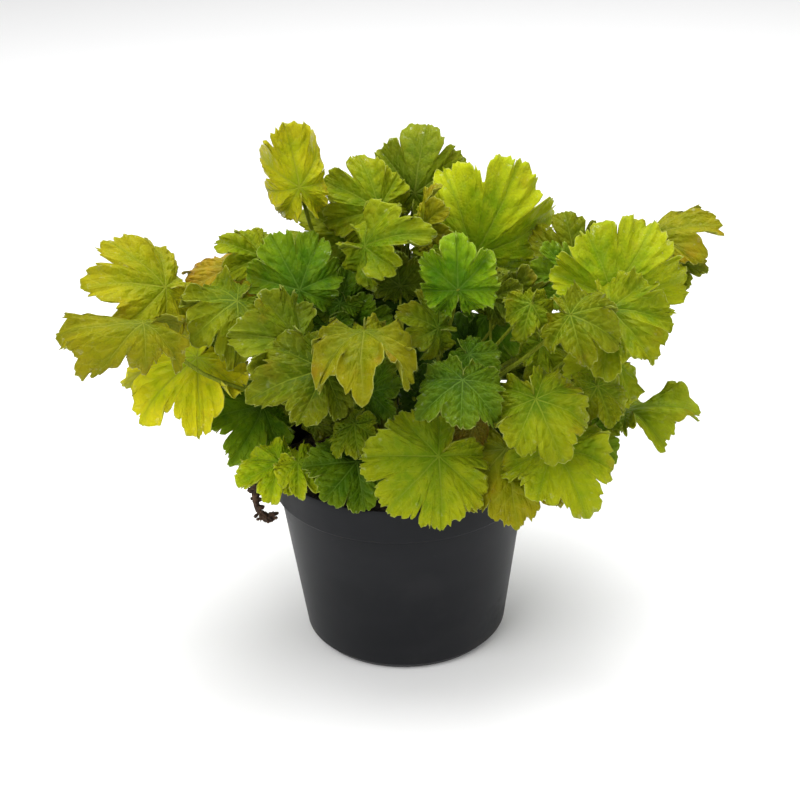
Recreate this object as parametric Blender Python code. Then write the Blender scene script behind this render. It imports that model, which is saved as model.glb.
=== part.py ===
# A heuchera growing in its nursery pot: the pot, its soil, the crown with the young leaves, and an
# object for each grown leaf with its stalk.
# Metres, +Z up. The origin is the middle of the pot's underside, and -Y is the plant's front.

import math
import random
from collections import namedtuple

import bmesh
import bpy
from mathutils import Matrix, Quaternion, Vector
from mathutils.bvhtree import BVHTree

MM = 0.001
SEAT_GAP = 0.3 * MM

# The pot: a 1.5 litre nursery pot with a band round its rim.
POT_HEIGHT = 115 * MM
RIM_RADIUS = 75 * MM
BAND_HEIGHT = 20 * MM
BODY_TOP_RADIUS = 72 * MM
BODY_BOTTOM_RADIUS = 59 * MM
POT_WALL = 1.3 * MM
POT_SIDES = 36
DRAIN_COUNT = 8
DRAIN_RADIUS = 4.5 * MM
DRAIN_CIRCLE = 38 * MM

# The soil and the crown that sits in it.
SOIL_TOP = 102 * MM
SOIL_SIDES = 32
SOIL_CLEAR = 0.7 * MM
CROWN_RADIUS = 25 * MM
CROWN_BOTTOM = 95 * MM
CROWN_TOP = 106 * MM
CROWN_SIDES = 20

# The stalks. Each stands in a four-sided hole in the crown.
STALK_RADIUS = 1.5 * MM
STALK_SIDES = 4
STALK_PITCH = 4.7 * MM
STALK_DEPTH = 7 * MM
STALK_RISE = 2 * MM
HOLE_FLOOR = CROWN_TOP - STALK_DEPTH - SEAT_GAP

# The blades. A blade's length runs from its hub, where the stalk joins, to its tip.
BLADE_THICKNESS = 0.8 * MM
HUB_SHARE = 0.07
HUB_MARK = 1.35
LOBE_SPAN = 47
LOBE_HALF = LOBE_SPAN / 2
SINUS_DEPTH = 0.2
SINUS_POWER = 4
TOOTH_DEPTH = 0.05
EDGE_ENVELOPE = ((0, 1.0), (47, 0.9), (94, 0.75), (141, 0.6), (166, 0.54), (175, 0.32), (180, 0.16))
LARGE_BLADE = 40 * MM
SMALL_BLADE = 27 * MM

# How a leaf gives way to its neighbours.
SIGHT = Vector((0, math.cos(math.radians(26.6)), -math.sin(math.radians(26.6))))
BLADE_CLEAR = 1.3 * MM
STALK_CLEAR = 0.7 * MM
PLACES_SEED = "g"
PLACES_TRIED = 1600
ROUTES_TRIED = 14
MOST_DEPTH = 60 * MM
MOST_ASIDE = 12 * MM
BACK_ASIDE = 30 * MM
MOST_TURN = math.radians(30)
MOST_SWAY = 34 * MM
SQUEEZES = ((1.0, 1.0), (0.5, 1.0), (0.6, 0.88), (0.5, 0.76), (0.4, 0.62), (0.3, 0.5))

# Colour of the upper side, and roughness.
HUES = {
    "lime": ((0.31, 0.37, 0.02), 0.5),
    "gold": ((0.46, 0.43, 0.025), 0.5),
    "green": ((0.14, 0.25, 0.02), 0.48),
    "olive": ((0.21, 0.24, 0.02), 0.52),
    "amber": ((0.40, 0.27, 0.04), 0.55),
    "deep": ((0.06, 0.12, 0.015), 0.5),
}

# A leaf: its hub and its tip in millimetres, the way its upper side faces as degrees round from the
# front and up from level, the droop from hub to tip and of each side in degrees, the height of its
# waves as a share of its length, and its hue.
Leaf = namedtuple("Leaf", "name hub tip face droop sides ruffle hue")

YOUNG_LEAVES = [
    Leaf("young_mid", (-17, -36, 169), (2, -46, 178), (5, 40), 10, 10, 0.16, "green"),
    Leaf("young_curled", (-25, -52, 158), (-37, -60, 145), (-50, 35), 10, 50, 0.12, "lime"),
    Leaf("centre_left_small", (22, -20, 199), (3, -26, 213), (-5, 50), 20, 25, 0.2, "lime"),
    Leaf("centre_right_small", (38, -36, 190), (53, -44, 181), (5, 50), 25, 25, 0.18, "green"),
    Leaf("inner_back", (5, 44, 189), (-1, 38, 152), (0, 35), 10, 15, 0.14, "deep"),
    Leaf("inner_low", (25, 36, 173), (31, 28, 144), (5, 35), 10, 15, 0.14, "deep"),
    Leaf("inner_left", (-32, 6, 204), (-42, 12, 222), (-5, 35), 10, 15, 0.14, "green"),
    Leaf("inner_right", (52, 6, 204), (68, 2, 214), (5, 40), 10, 15, 0.2, "olive"),
    Leaf("inner_mid", (2, 10, 212), (0, 14, 232), (0, 35), 10, 15, 0.18, "olive"),
]

GROWN_LEAVES = [
    Leaf("far_left_top", (-128, 2, 219), (-164, -15, 231), (-20, 42), 25, 35, 0.15, "gold"),
    Leaf("rim_right_old", (56, -46, 136), (60, -76, 107), (5, 32), 35, 20, 0.12, "gold"),
    Leaf("front_centre", (21, -67, 144), (-9, -88, 121), (0, 32), 25, 10, 0.16, "lime"),
    Leaf("withered_small", (40, -46, 152), (34, -58, 143), (10, 35), 20, 80, 0.1, "amber"),
    Leaf("front_left", (-24, -50, 133), (-43, -70, 119), (-5, 35), 25, 10, 0.12, "green"),
    Leaf("right_lower", (84, -52, 139), (101, -78, 116), (8, 35), 25, 5, 0.15, "lime"),
    Leaf("rim_left_outer", (-67, -32, 126), (-93, -42, 117), (-20, 45), 20, 35, 0.16, "green"),
    Leaf("rim_left_inner", (-56, -44, 131), (-38, -60, 122), (10, 50), 20, 30, 0.16, "green"),
    Leaf("right_front", (72, -66, 177), (84, -88, 153), (0, 38), 20, 10, 0.15, "lime"),
    Leaf("right_lower_behind", (98, -32, 141), (121, -48, 128), (20, 40), 30, 20, 0.16, "green"),
    Leaf("mid_right_green", (38, -40, 175), (38, -64, 156), (0, 45), 25, 20, 0.16, "green"),
    Leaf("inner_right_small", (61, -30, 144), (59, -44, 133), (0, 45), 20, 10, 0.14, "deep"),
    Leaf("centre_yellow", (-18, -52, 213), (-20, -88, 204), (0, 58), 35, 50, 0.2, "gold"),
    Leaf("left_centre_lower", (-40, -50, 190), (-74, -66, 188), (-5, 45), 20, 15, 0.14, "lime"),
    Leaf("left_centre_olive", (-54, -34, 200), (-86, -48, 216), (-10, 45), 20, 20, 0.14, "olive"),
    Leaf("left_bright_big", (-113, -30, 194), (-142, -56, 178), (-20, 50), 30, 25, 0.2, "lime"),
    Leaf("left_mid_bright", (-86, -22, 220), (-110, -44, 208), (-10, 45), 25, 25, 0.2, "lime"),
    Leaf("left_old_orange", (-97, 20, 226), (-122, 10, 214), (-20, 60), 20, 50, 0.14, "amber"),
    Leaf("left_most", (-136, -24, 204), (-180, -42, 203), (-12, 76), 20, 112, 0.13, "gold"),
    Leaf("left_dark_lower", (-77, -20, 160), (-115, -40, 163), (-15, 50), 25, 25, 0.16, "deep"),
    Leaf("left_big_green", (-53, 10, 211), (-68, 26, 237), (-10, 40), 15, 15, 0.16, "green"),
    Leaf("left_top_small", (-76, 22, 228), (-97, 20, 238), (-10, 50), 20, 30, 0.2, "lime"),
    Leaf("top_left_lone", (-52, 24, 267), (-58, 36, 304), (10, 20), 15, 105, 0.18, "lime"),
    Leaf("centre_top_bright", (-17, 6, 238), (8, -8, 254), (0, 50), 20, 30, 0.22, "lime"),
    Leaf("centre_green_ruffled", (33, -24, 223), (33, -18, 250), (0, 35), 10, 10, 0.26, "green"),
    Leaf("top_folded", (15, 30, 239), (21, 34, 263), (-75, 20), 20, 60, 0.16, "gold"),
    Leaf("top_left_pale", (-9, 44, 246), (-38, 50, 262), (-5, 35), 25, 25, 0.2, "olive"),
    Leaf("top_left_lower", (-22, 36, 233), (-50, 40, 249), (-10, 40), 20, 20, 0.18, "lime"),
    Leaf("top_right_big", (42, 18, 227), (66, 34, 277), (25, 28), 20, 55, 0.14, "lime"),
    Leaf("top_centre", (12, 60, 250), (19, 78, 283), (0, 38), 30, 25, 0.16, "olive"),
    Leaf("small_bright", (72, -34, 218), (66, -46, 205), (0, 45), 20, 20, 0.22, "lime"),
    Leaf("right_ruffled", (90, -44, 214), (112, -60, 208), (5, 45), 20, 15, 0.22, "lime"),
    Leaf("right_big_upper", (119, -12, 210), (142, 8, 246), (10, 38), 15, 5, 0.16, "lime"),
    Leaf("right_big_lower", (115, -28, 211), (138, -50, 190), (10, 38), 25, 10, 0.18, "lime"),
    Leaf("far_right_top", (148, 4, 239), (182, -6, 246), (15, 78), 30, 25, 0.16, "gold"),
    Leaf("far_right_behind", (150, 16, 222), (173, 10, 218), (20, 45), 20, 15, 0.15, "olive"),
    Leaf("right_mid", (121, -6, 170), (93, -26, 175), (5, 40), 20, 10, 0.14, "green"),
    Leaf("right_low_dark", (110, -14, 160), (115, -30, 145), (10, 40), 20, 20, 0.15, "deep"),
    Leaf("far_right_low", (131, 8, 131), (173, 0, 138), (15, 94), 15, 10, 0.16, "olive"),
    Leaf("right_yellow_old", (109, 14, 170), (87, 8, 178), (0, 40), 15, 15, 0.14, "gold"),
    Leaf("right_back_upper", (104, 44, 208), (99, 56, 236), (5, 40), 30, 15, 0.14, "olive"),
    Leaf("right_back_lower", (102, 40, 197), (77, 34, 206), (0, 40), 20, 15, 0.14, "green"),
    Leaf("mid_dark_right", (53, 14, 187), (80, 2, 175), (0, 45), 20, 15, 0.15, "deep"),
    Leaf("left_dark_mid", (-121, -4, 191), (-136, 6, 219), (-15, 35), 20, 15, 0.16, "deep"),
    Leaf("left_green_behind", (-89, 10, 193), (-105, 2, 182), (-10, 45), 20, 20, 0.15, "green"),
]

# The leaves behind, in tiers: how many, the degrees round from the front of the first and last, the
# hub's distance from the middle and height, the blade's length, how far the tip points down, and how
# far up its upper side faces.
Tier = namedtuple("Tier", "count first last reach height length dip face_up")
BACK_TIERS = [
    Tier(5, 118, 242, 84 * MM, 146 * MM, 42 * MM, 32, 48),
    Tier(4, 126, 234, 92 * MM, 198 * MM, 45 * MM, 22, 55),
    Tier(3, 150, 210, 74 * MM, 206 * MM, 42 * MM, 8, 50),
]
BACK_HUES = ("olive", "lime", "green", "gold")


def clear_scene():
    for obj in list(bpy.data.objects):
        bpy.data.objects.remove(obj)


def material(name, colour, roughness, metallic=0.0):
    made = bpy.data.materials.new(name)
    made.use_nodes = True
    shader = made.node_tree.nodes["Principled BSDF"]
    shader.inputs["Base Color"].default_value = (*colour, 1)
    shader.inputs["Roughness"].default_value = roughness
    shader.inputs["Metallic"].default_value = metallic
    return made


def add_object(name, bm, finish, location=(0, 0, 0)):
    mesh = bpy.data.meshes.new(name)
    bm.to_mesh(mesh)
    bm.free()
    mesh.materials.append(finish)
    obj = bpy.data.objects.new(name, mesh)
    obj.location = location
    bpy.context.collection.objects.link(obj)
    return obj


def turned(profile, sides):
    """A solid turned about Z from (radius, height) points that start and end on the axis, flat there."""
    bm = bmesh.new()
    verts = [bm.verts.new((radius, 0, height)) for radius, height in profile]
    edges = [bm.edges.new(pair) for pair in zip(verts, verts[1:])]
    bmesh.ops.spin(
        bm,
        geom=verts + edges,
        cent=(0, 0, 0),
        axis=(0, 0, 1),
        angle=2 * math.pi,
        steps=sides,
        use_merge=True,
    )
    bmesh.ops.remove_doubles(bm, verts=bm.verts[:], dist=0.01 * MM)
    poles = [vert for vert in bm.verts if vert.co.xy.length < 0.01 * MM]
    bmesh.ops.dissolve_verts(bm, verts=poles)
    bmesh.ops.recalc_face_normals(bm, faces=bm.faces[:])
    return bm


def boolean(obj, operation, operand):
    """Joins or cuts obj by an object or a collection, and applies the result to its mesh."""
    modifier = obj.modifiers.new(operation.title(), "BOOLEAN")
    modifier.operation = operation
    modifier.solver = "EXACT"
    modifier.material_mode = "TRANSFER"
    if isinstance(operand, bpy.types.Collection):
        modifier.operand_type = "COLLECTION"
        modifier.collection = operand
    else:
        modifier.object = operand
    bpy.context.view_layer.update()
    evaluated = obj.evaluated_get(bpy.context.evaluated_depsgraph_get())
    result = bpy.data.meshes.new_from_object(evaluated)
    obj.modifiers.clear()
    obj.data = result


# The pot

BAND_BOTTOM = POT_HEIGHT - BAND_HEIGHT
BODY_TAPER = (BODY_TOP_RADIUS - BODY_BOTTOM_RADIUS) / BAND_BOTTOM


def body_radius(height):
    return BODY_BOTTOM_RADIUS + BODY_TAPER * height


def make_pot():
    foot = 4 * MM
    lip = 0.5 * MM
    profile = [
        (0, 0),
        (BODY_BOTTOM_RADIUS - foot, 0),
        (BODY_BOTTOM_RADIUS - 0.8 * MM, 1.2 * MM),
        (body_radius(foot), foot),
        (body_radius(BAND_BOTTOM), BAND_BOTTOM),
        (RIM_RADIUS - lip, BAND_BOTTOM),
        (RIM_RADIUS, BAND_BOTTOM + lip),
        (RIM_RADIUS, POT_HEIGHT - lip),
        (RIM_RADIUS - lip, POT_HEIGHT),
        (RIM_RADIUS - POT_WALL, POT_HEIGHT - 0.3 * MM),
        (RIM_RADIUS - POT_WALL, BAND_BOTTOM + POT_WALL),
        (body_radius(BAND_BOTTOM) - POT_WALL, BAND_BOTTOM + POT_WALL),
        (body_radius(foot) - POT_WALL, foot),
        (BODY_BOTTOM_RADIUS - foot, POT_WALL),
        (0, POT_WALL),
    ]
    plastic = material("charcoal plastic", (0.022, 0.024, 0.027), 0.62)
    pot = add_object("pot", turned(profile, POT_SIDES), plastic)
    drains = bmesh.new()
    for turn in range(DRAIN_COUNT):
        angle = 2 * math.pi * (turn + 0.5) / DRAIN_COUNT
        place = Matrix.Translation((DRAIN_CIRCLE * math.cos(angle), DRAIN_CIRCLE * math.sin(angle), 0))
        bmesh.ops.create_cone(
            drains,
            cap_ends=True,
            segments=10,
            radius1=DRAIN_RADIUS,
            radius2=DRAIN_RADIUS,
            depth=10 * MM,
            matrix=place,
        )
    cutter = add_object("drain_cutter", drains, plastic)
    boolean(pot, "DIFFERENCE", cutter)
    bpy.data.objects.remove(cutter)
    pot.data.shade_smooth()
    pot.data.set_sharp_from_angle(angle=math.radians(35))
    return pot


# The soil

def soil_height(x, y):
    """The top of the peat: low swells and lumps."""
    swell = 1.2 * math.sin(x * 95 + 0.6) * math.cos(y * 80 - 0.4)
    lumps = 0.8 * math.sin(x * 310 + y * 140) + 0.6 * math.sin(y * 350 - x * 120 + 1.3)
    return SOIL_TOP + (swell + lumps) * MM


def make_soil():
    foot = 4 * MM
    ledge = BAND_BOTTOM + POT_WALL + SEAT_GAP
    pit_radius = CROWN_RADIUS + SEAT_GAP
    pit_floor = CROWN_BOTTOM - SEAT_GAP
    edge = RIM_RADIUS - POT_WALL - SOIL_CLEAR
    pit_sides_reach = pit_radius / math.cos(math.pi / SOIL_SIDES)
    profile = [
        (0, POT_WALL + SEAT_GAP),
        (BODY_BOTTOM_RADIUS - foot - SOIL_CLEAR, POT_WALL + SEAT_GAP),
        (body_radius(foot) - POT_WALL - SOIL_CLEAR, foot + SEAT_GAP),
        (body_radius(BAND_BOTTOM) - POT_WALL - SOIL_CLEAR, ledge),
        (edge, ledge),
        (edge, SOIL_TOP),
        (edge - 14 * MM, SOIL_TOP),
        (edge - 28 * MM, SOIL_TOP),
        (pit_sides_reach + 6 * MM, SOIL_TOP),
        (pit_sides_reach, SOIL_TOP),
        (pit_sides_reach, pit_floor),
        (0, pit_floor),
    ]
    bm = turned(profile, SOIL_SIDES)
    for vert in bm.verts:
        if vert.co.z > SOIL_TOP - 0.1 * MM:
            vert.co.z = soil_height(vert.co.x, vert.co.y)
    bmesh.ops.triangulate(bm, faces=[face for face in bm.faces if len(face.verts) > 3])
    return add_object("soil", bm, material("dark peat", (0.035, 0.022, 0.014), 0.95))


# The form of a blade

def edge_reach(angle):
    """Distance from hub to edge as a share of the blade's length, at an angle from the tip in degrees."""
    side = abs(angle)
    for (low, near), (high, far) in zip(EDGE_ENVELOPE, EDGE_ENVELOPE[1:]):
        if side <= high:
            envelope = near + (far - near) * (side - low) / (high - low)
            break
    offset = lobe_offset(angle)
    tooth = TOOTH_DEPTH * (1 - abs(math.cos(1.5 * math.pi * offset)))
    return envelope * (1 - SINUS_DEPTH * abs(offset) ** SINUS_POWER) * (1 - tooth)


def lobe_offset(angle):
    """Where an angle falls in its lobe: 0 in the middle of a lobe, and 1 or -1 where two lobes meet."""
    side = abs(angle)
    lobe = min(3, int((side + LOBE_HALF) // LOBE_SPAN))
    return max(-1.0, min(1.0, (side - lobe * LOBE_SPAN) / LOBE_HALF))


def blade_length(leaf):
    half = math.radians(leaf.droop) / 2
    span = (Vector(leaf.tip) - Vector(leaf.hub)).length * MM
    return span * half / math.sin(half)


def blade_point(leaf, length, angle, share):
    """A point of the upper face in the leaf's own frame: x to the tip, z out of the upper face.

    The share runs from 0 on the hub's ring to 1 on the edge."""
    hub = HUB_SHARE * length
    radius = hub + share * (edge_reach(angle) * length - hub)
    turn = math.radians(angle)
    along = radius * math.cos(turn)
    aside = radius * math.sin(turn)
    lobe_wave = -math.cos(math.pi * lobe_offset(angle))
    slow_wave = math.sin(3 * turn + len(leaf.name))
    height = leaf.ruffle * length * share**2 * (0.55 * lobe_wave + 0.45 * slow_wave)
    droop = math.radians(leaf.droop)
    bend = droop / length
    fold = math.radians(leaf.sides) / length
    x = math.sin(bend * along) / bend
    y = math.sin(fold * aside) / fold
    z = height - (1 - math.cos(bend * along)) / bend - (1 - math.cos(fold * aside)) / fold
    return Matrix.Rotation(-droop / 2, 3, "Y") @ Vector((x, y, z))


def ring_angles(length):
    """Angles of the middle ring and of the edge, from one side of the notch round to the notch."""
    middle_step = LOBE_SPAN if length < SMALL_BLADE else LOBE_HALF
    steps = round(3 * LOBE_SPAN / middle_step)
    middle = [step * middle_step for step in range(-steps, steps + 1)] + [180]
    edge = []
    for lobe in range(-3, 4):
        if length < SMALL_BLADE:
            offsets = (-1, -0.4, 0.4)
        elif length < LARGE_BLADE or abs(lobe) > 1:
            offsets = (-1, -0.5, 0, 0.5)
        else:
            offsets = (-1, -2 / 3, -1 / 3, 0, 1 / 3, 2 / 3)
        edge += [lobe * LOBE_SPAN + offset * LOBE_HALF for offset in offsets]
    return middle, edge + [3 * LOBE_SPAN + LOBE_HALF, 180]


def band_faces(inner, outer, inner_start, outer_start):
    """Triangles between two rings of points, given by their angles and their first index."""
    faces = []
    i = j = 0
    inner_angles = inner + [inner[0] + 360]
    outer_angles = outer + [outer[0] + 360]
    while i < len(inner) or j < len(outer):
        inner_next = inner_angles[i] + inner_angles[i + 1] if i < len(inner) else math.inf
        outer_next = outer_angles[j] + outer_angles[j + 1] if j < len(outer) else math.inf
        here = inner_start + i % len(inner)
        there = outer_start + j % len(outer)
        if inner_next <= outer_next:
            i += 1
            faces.append((here, there, inner_start + i % len(inner)))
        else:
            j += 1
            faces.append((here, there, outer_start + j % len(outer)))
    return faces


Blade = namedtuple("Blade", "points normals faces hub_count edge_start")


def make_blade(leaf):
    """The upper face in the leaf's own frame, with the way out at each point."""
    length = blade_length(leaf)
    hub = [-90, 0, 90, 180]
    middle, edge = ring_angles(length)
    points = []
    for angle in hub:
        point = blade_point(leaf, length, angle, 0)
        points.append(point * (HUB_MARK if angle == 0 else 1))
    points += [blade_point(leaf, length, angle, 0.55) for angle in middle]
    edge_start = len(points)
    points += [blade_point(leaf, length, angle, 1) for angle in edge]
    faces = [tuple(range(len(hub)))]
    faces += band_faces(hub, middle, 0, len(hub))
    faces += band_faces(middle, edge, len(hub), edge_start)
    normals = [Vector() for _ in points]
    for face in faces:
        a, b, c = (points[index] for index in face[:3])
        out = (b - a).cross(c - a).normalized()
        for index in face:
            normals[index] += out
    normals = [normal.normalized() for normal in normals]
    return Blade(points, normals, faces, len(hub), edge_start)


def blade_solid(blade, grow=0.0):
    """Points and faces of the closed blade. Its faces are alike above and below."""
    count = len(blade.points)
    upper = [point + normal * grow for point, normal in zip(blade.points, blade.normals)]
    depth = BLADE_THICKNESS + grow
    lower = [point - normal * depth for point, normal in zip(blade.points, blade.normals)]
    for index in range(blade.edge_start, count):
        outward = Vector((blade.points[index].x, blade.points[index].y, 0)).normalized() * grow
        upper[index] = upper[index] + outward
        lower[index] = lower[index] + outward
    faces = list(blade.faces)
    faces += [tuple(count + index for index in reversed(face)) for face in blade.faces[1:]]
    edge = list(range(blade.edge_start, count))
    for here, there in zip(edge, edge[1:] + edge[:1]):
        faces.append((here, count + here, count + there, there))
    return upper + lower, faces


# The way of a stalk

def curve_point(handles, share):
    a, b, c, d = handles
    back = 1 - share
    return a * back**3 + b * (3 * back**2 * share) + c * (3 * back * share**2) + d * share**3


def stalk_rings(frame, base, length, bow):
    """Rings of points up the stalk from its foot to just under the hub.

    The frame holds the blade's own directions and its hub, and bow bends the stalk aside."""
    to_tip, _, out, hub = (frame.col[index].to_3d() for index in range(4))
    under = hub - out * BLADE_THICKNESS
    top_radius = min(STALK_RADIUS, 0.75 * HUB_SHARE * length)
    start = Vector((base.x, base.y, CROWN_TOP + STALK_RISE))
    reach = (under - start).length
    arrival = out * 0.9 + to_tip * 0.2 + (under - start).normalized() * 0.8
    arrival.normalize()
    lean = arrival.dot(out)
    if lean < 0.5:
        arrival = (arrival + out * (0.6 - lean)).normalized()
    end = under - arrival * 0.1 * length
    outward = Vector((base.x, base.y, 0)) * 0.6
    handles = (
        start,
        start + Vector((0, 0, 0.34 * reach)) + outward + bow,
        end - arrival * 0.3 * reach + bow,
        end,
    )
    shares = [0, 0.22, 0.46, 0.72, 1] if length > SMALL_BLADE else [0, 0.33, 0.66, 1]
    centres = [curve_point(handles, share) for share in shares]
    ways = [(curve_point(handles, share + 0.01) - curve_point(handles, share - 0.01)) for share in shares]
    centres.insert(0, Vector((base.x, base.y, CROWN_TOP - STALK_DEPTH)))
    ways[0] = Vector((0, 0, 1))
    ways.insert(0, Vector((0, 0, 1)))
    ways[-1] = arrival
    radii = [STALK_RADIUS] * 2 + [STALK_RADIUS + (top_radius - STALK_RADIUS) * s for s in shares[1:]]
    across = to_tip
    rings = []
    frames = []
    for centre, way in zip(reversed(centres), reversed(ways)):
        way = way.normalized()
        across = (across - way * across.dot(way)).normalized()
        frames.append((centre, across.copy(), way.cross(across)))
    side = 2 * math.pi / STALK_SIDES
    first_turn = math.radians(-90)
    foot_turn = math.atan2(frames[-1][1].y, frames[-1][1].x) + first_turn
    twist = -((foot_turn + side / 2) % side - side / 2)
    for step, (centre, across, beside) in enumerate(frames):
        turned_by = first_turn + twist * step / (len(frames) - 1)
        radius = radii[-1 - step]
        ring = []
        for corner in range(STALK_SIDES):
            turn = turned_by + corner * side
            ring.append(centre + (across * math.cos(turn) + beside * math.sin(turn)) * radius)
        rings.append(ring)
    return rings[::-1]


def tube(rings, grow=0.0):
    """Points and faces of a closed tube through the rings, grown outward if asked."""
    points = []
    for ring in rings:
        centre = sum(ring, Vector()) / len(ring)
        points += [point + (point - centre).normalized() * grow for point in ring]
    faces = [tuple(range(STALK_SIDES))]
    for step in range(len(rings) - 1):
        for corner in range(STALK_SIDES):
            here = step * STALK_SIDES + corner
            there = step * STALK_SIDES + (corner + 1) % STALK_SIDES
            faces.append((here, there, there + STALK_SIDES, here + STALK_SIDES))
    faces.append(tuple(reversed(range(len(points) - STALK_SIDES, len(points)))))
    return points, faces


def leaf_frame(leaf):
    """The blade's own directions and its hub in the plant's frame."""
    hub = Vector(leaf.hub) * MM
    to_tip = (Vector(leaf.tip) * MM - hub).normalized()
    azimuth, elevation = (math.radians(angle) for angle in leaf.face)
    level = math.cos(elevation)
    out = Vector((math.sin(azimuth) * level, -math.cos(azimuth) * level, math.sin(elevation)))
    out = (out - to_tip * out.dot(to_tip)).normalized()
    aside = out.cross(to_tip)
    frame = Matrix((to_tip, aside, out)).transposed().to_4x4()
    frame.translation = hub
    return frame


def leaf_mesh(leaf, frame, rings, origin):
    """The closed leaf: its blade, and its stalk drawn out of the hub's underside."""
    blade = make_blade(leaf)
    points, faces = blade_solid(blade)
    points = [frame @ point for point in points]
    count = len(points)
    under_hub = len(blade.points)
    for ring in reversed(rings):
        points += ring
    starts = [under_hub] + [count + step * STALK_SIDES for step in range(len(rings))]
    for high, low in zip(starts, starts[1:]):
        for corner in range(STALK_SIDES):
            beside = (corner + 1) % STALK_SIDES
            faces.append((high + corner, high + beside, low + beside, low + corner))
    faces.append(tuple(range(starts[-1], starts[-1] + STALK_SIDES)))
    bm = bmesh.new()
    verts = [bm.verts.new(point - origin) for point in points]
    for face in faces:
        bm.faces.new([verts[index] for index in face])
    bmesh.ops.recalc_face_normals(bm, faces=bm.faces[:])
    return bm


# Where the leaves stand

def back_leaves():
    """The leaves of the plant's far side, round it in tiers."""
    draw = random.Random(7)
    leaves = []
    for level, tier in enumerate(BACK_TIERS):
        for place in range(tier.count):
            azimuth = tier.first + (tier.last - tier.first) * place / (tier.count - 1)
            azimuth += draw.uniform(-5, 5)
            turn = math.radians(azimuth)
            outward = Vector((math.sin(turn), -math.cos(turn), 0))
            dip = math.radians(tier.dip + draw.uniform(-9, 9))
            hub = outward * (tier.reach + draw.uniform(-7, 7) * MM)
            hub.z = tier.height + draw.uniform(-9, 9) * MM
            length = tier.length * draw.uniform(0.88, 1.1)
            tip = hub + (outward * math.cos(dip) - Vector((0, 0, math.sin(dip)))) * length
            leaves.append(
                Leaf(
                    f"back_{level + 1}_{place + 1}",
                    tuple(hub / MM),
                    tuple(tip / MM),
                    (azimuth, tier.face_up),
                    draw.uniform(18, 32),
                    draw.uniform(8, 26),
                    draw.uniform(0.13, 0.2),
                    BACK_HUES[(level + place) % len(BACK_HUES)],
                )
            )
    return leaves


def stalk_bases(leaves):
    """A place in the crown for each stalk: towards its hub, the far-reaching ones outermost."""
    places = []
    for leaf in leaves:
        hub = Vector(leaf.hub[:2])
        reach = 3 + 17 * min(1.0, hub.length / 130)
        places.append(hub.normalized() * reach * MM)
    furthest = CROWN_RADIUS - 3 * MM
    for _ in range(400):
        for i, here in enumerate(places):
            for j in range(i):
                apart = here - places[j]
                short = STALK_PITCH - apart.length
                if short > 0:
                    push = apart.normalized() * short * 0.5
                    here += push
                    places[j] -= push
            if here.length > furthest:
                here *= furthest / here.length
    return [Vector((place.x, place.y, 0)) for place in places]


def overlaps(tree, box, obstacles):
    low, high = box
    for other, (other_low, other_high) in obstacles:
        apart = any(low[k] > other_high[k] or high[k] < other_low[k] for k in range(3))
        if not apart and tree.overlap(other):
            return True
    return False


Placed = namedtuple("Placed", "leaf frame rings base")


def box_of(points):
    low = [min(point[k] for point in points) for k in range(3)]
    high = [max(point[k] for point in points) for k in range(3)]
    return low, high


def as_obstacle(points, faces):
    return BVHTree.FromPolygons(points, faces), box_of(points)


def nudged(frame, way, aside, draw, amount):
    """The frame moved and turned a little, mostly along the given way."""
    spread = [draw.uniform(-1, 1) * amount for _ in range(7)]
    shift = way * spread[0] * MOST_DEPTH + Vector((spread[1], 0, spread[2])) * aside
    axis = Vector(spread[3:6])
    turn = Matrix.Identity(4)
    if axis.length > 0:
        turn = Quaternion(axis.normalized(), MOST_TURN * spread[6]).to_matrix().to_4x4()
    moved = turn @ frame.to_3x3().to_4x4()
    moved.translation = frame.translation + shift
    return moved


def smaller(leaf, size):
    hub = Vector(leaf.hub)
    return leaf._replace(tip=tuple(hub + (Vector(leaf.tip) - hub) * size))


def find_place(planned, base, obstacles, fixed):
    """The nearest free place to the one planned, with a free way for the stalk.

    A leaf that finds none stands closer to its neighbours, and then grows smaller."""
    draw = random.Random(PLACES_SEED + planned.name)
    outward = Vector((planned.hub[0], planned.hub[1], 0)).normalized()
    behind = planned.face[0] > 90
    way = outward if behind else SIGHT
    aside = BACK_ASIDE if behind else MOST_ASIDE
    for clear, size in SQUEEZES:
        leaf = smaller(planned, size)
        blade = make_blade(leaf)
        length = blade_length(leaf)
        plan = leaf_frame(leaf)
        plain, faces = blade_solid(blade)
        grown, _ = blade_solid(blade, BLADE_CLEAR * clear)
        for attempt in range(1 if fixed else PLACES_TRIED):
            frame = nudged(plan, way, aside, draw, attempt / PLACES_TRIED)
            if overlaps(*as_obstacle([frame @ point for point in grown], faces), obstacles):
                continue
            own = as_obstacle([frame @ point for point in plain], faces)
            for route in range(1 if fixed else ROUTES_TRIED):
                sway = route / ROUTES_TRIED * MOST_SWAY
                bow = Vector([draw.uniform(-1, 1) * sway for _ in range(3)])
                rings = stalk_rings(frame, base, length, bow)
                if overlaps(*as_obstacle(*tube(rings[1:], STALK_CLEAR * clear)), obstacles):
                    continue
                if not overlaps(*as_obstacle(*tube(rings[1:-1], STALK_CLEAR / 2)), [own]):
                    return Placed(leaf, frame, rings, base), own
    return None


def make_leaves(leaves, bases, obstacles, fixed):
    """Places each leaf clear of the ones before it, and adds what it fills to the obstacles."""
    all_placed = []
    for leaf, base in zip(leaves, bases):
        found = find_place(leaf, base, obstacles, fixed)
        if found is None:
            raise RuntimeError(f"{leaf.name} finds no free place")
        placed, own = found
        obstacles.append(own)
        obstacles.append(as_obstacle(*tube(placed.rings[1:])))
        all_placed.append(placed)
    return all_placed


def leaf_material(leaf):
    colour, roughness = HUES[leaf.hue]
    return material(f"{leaf.name} blade", colour, roughness)


# The crown

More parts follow.
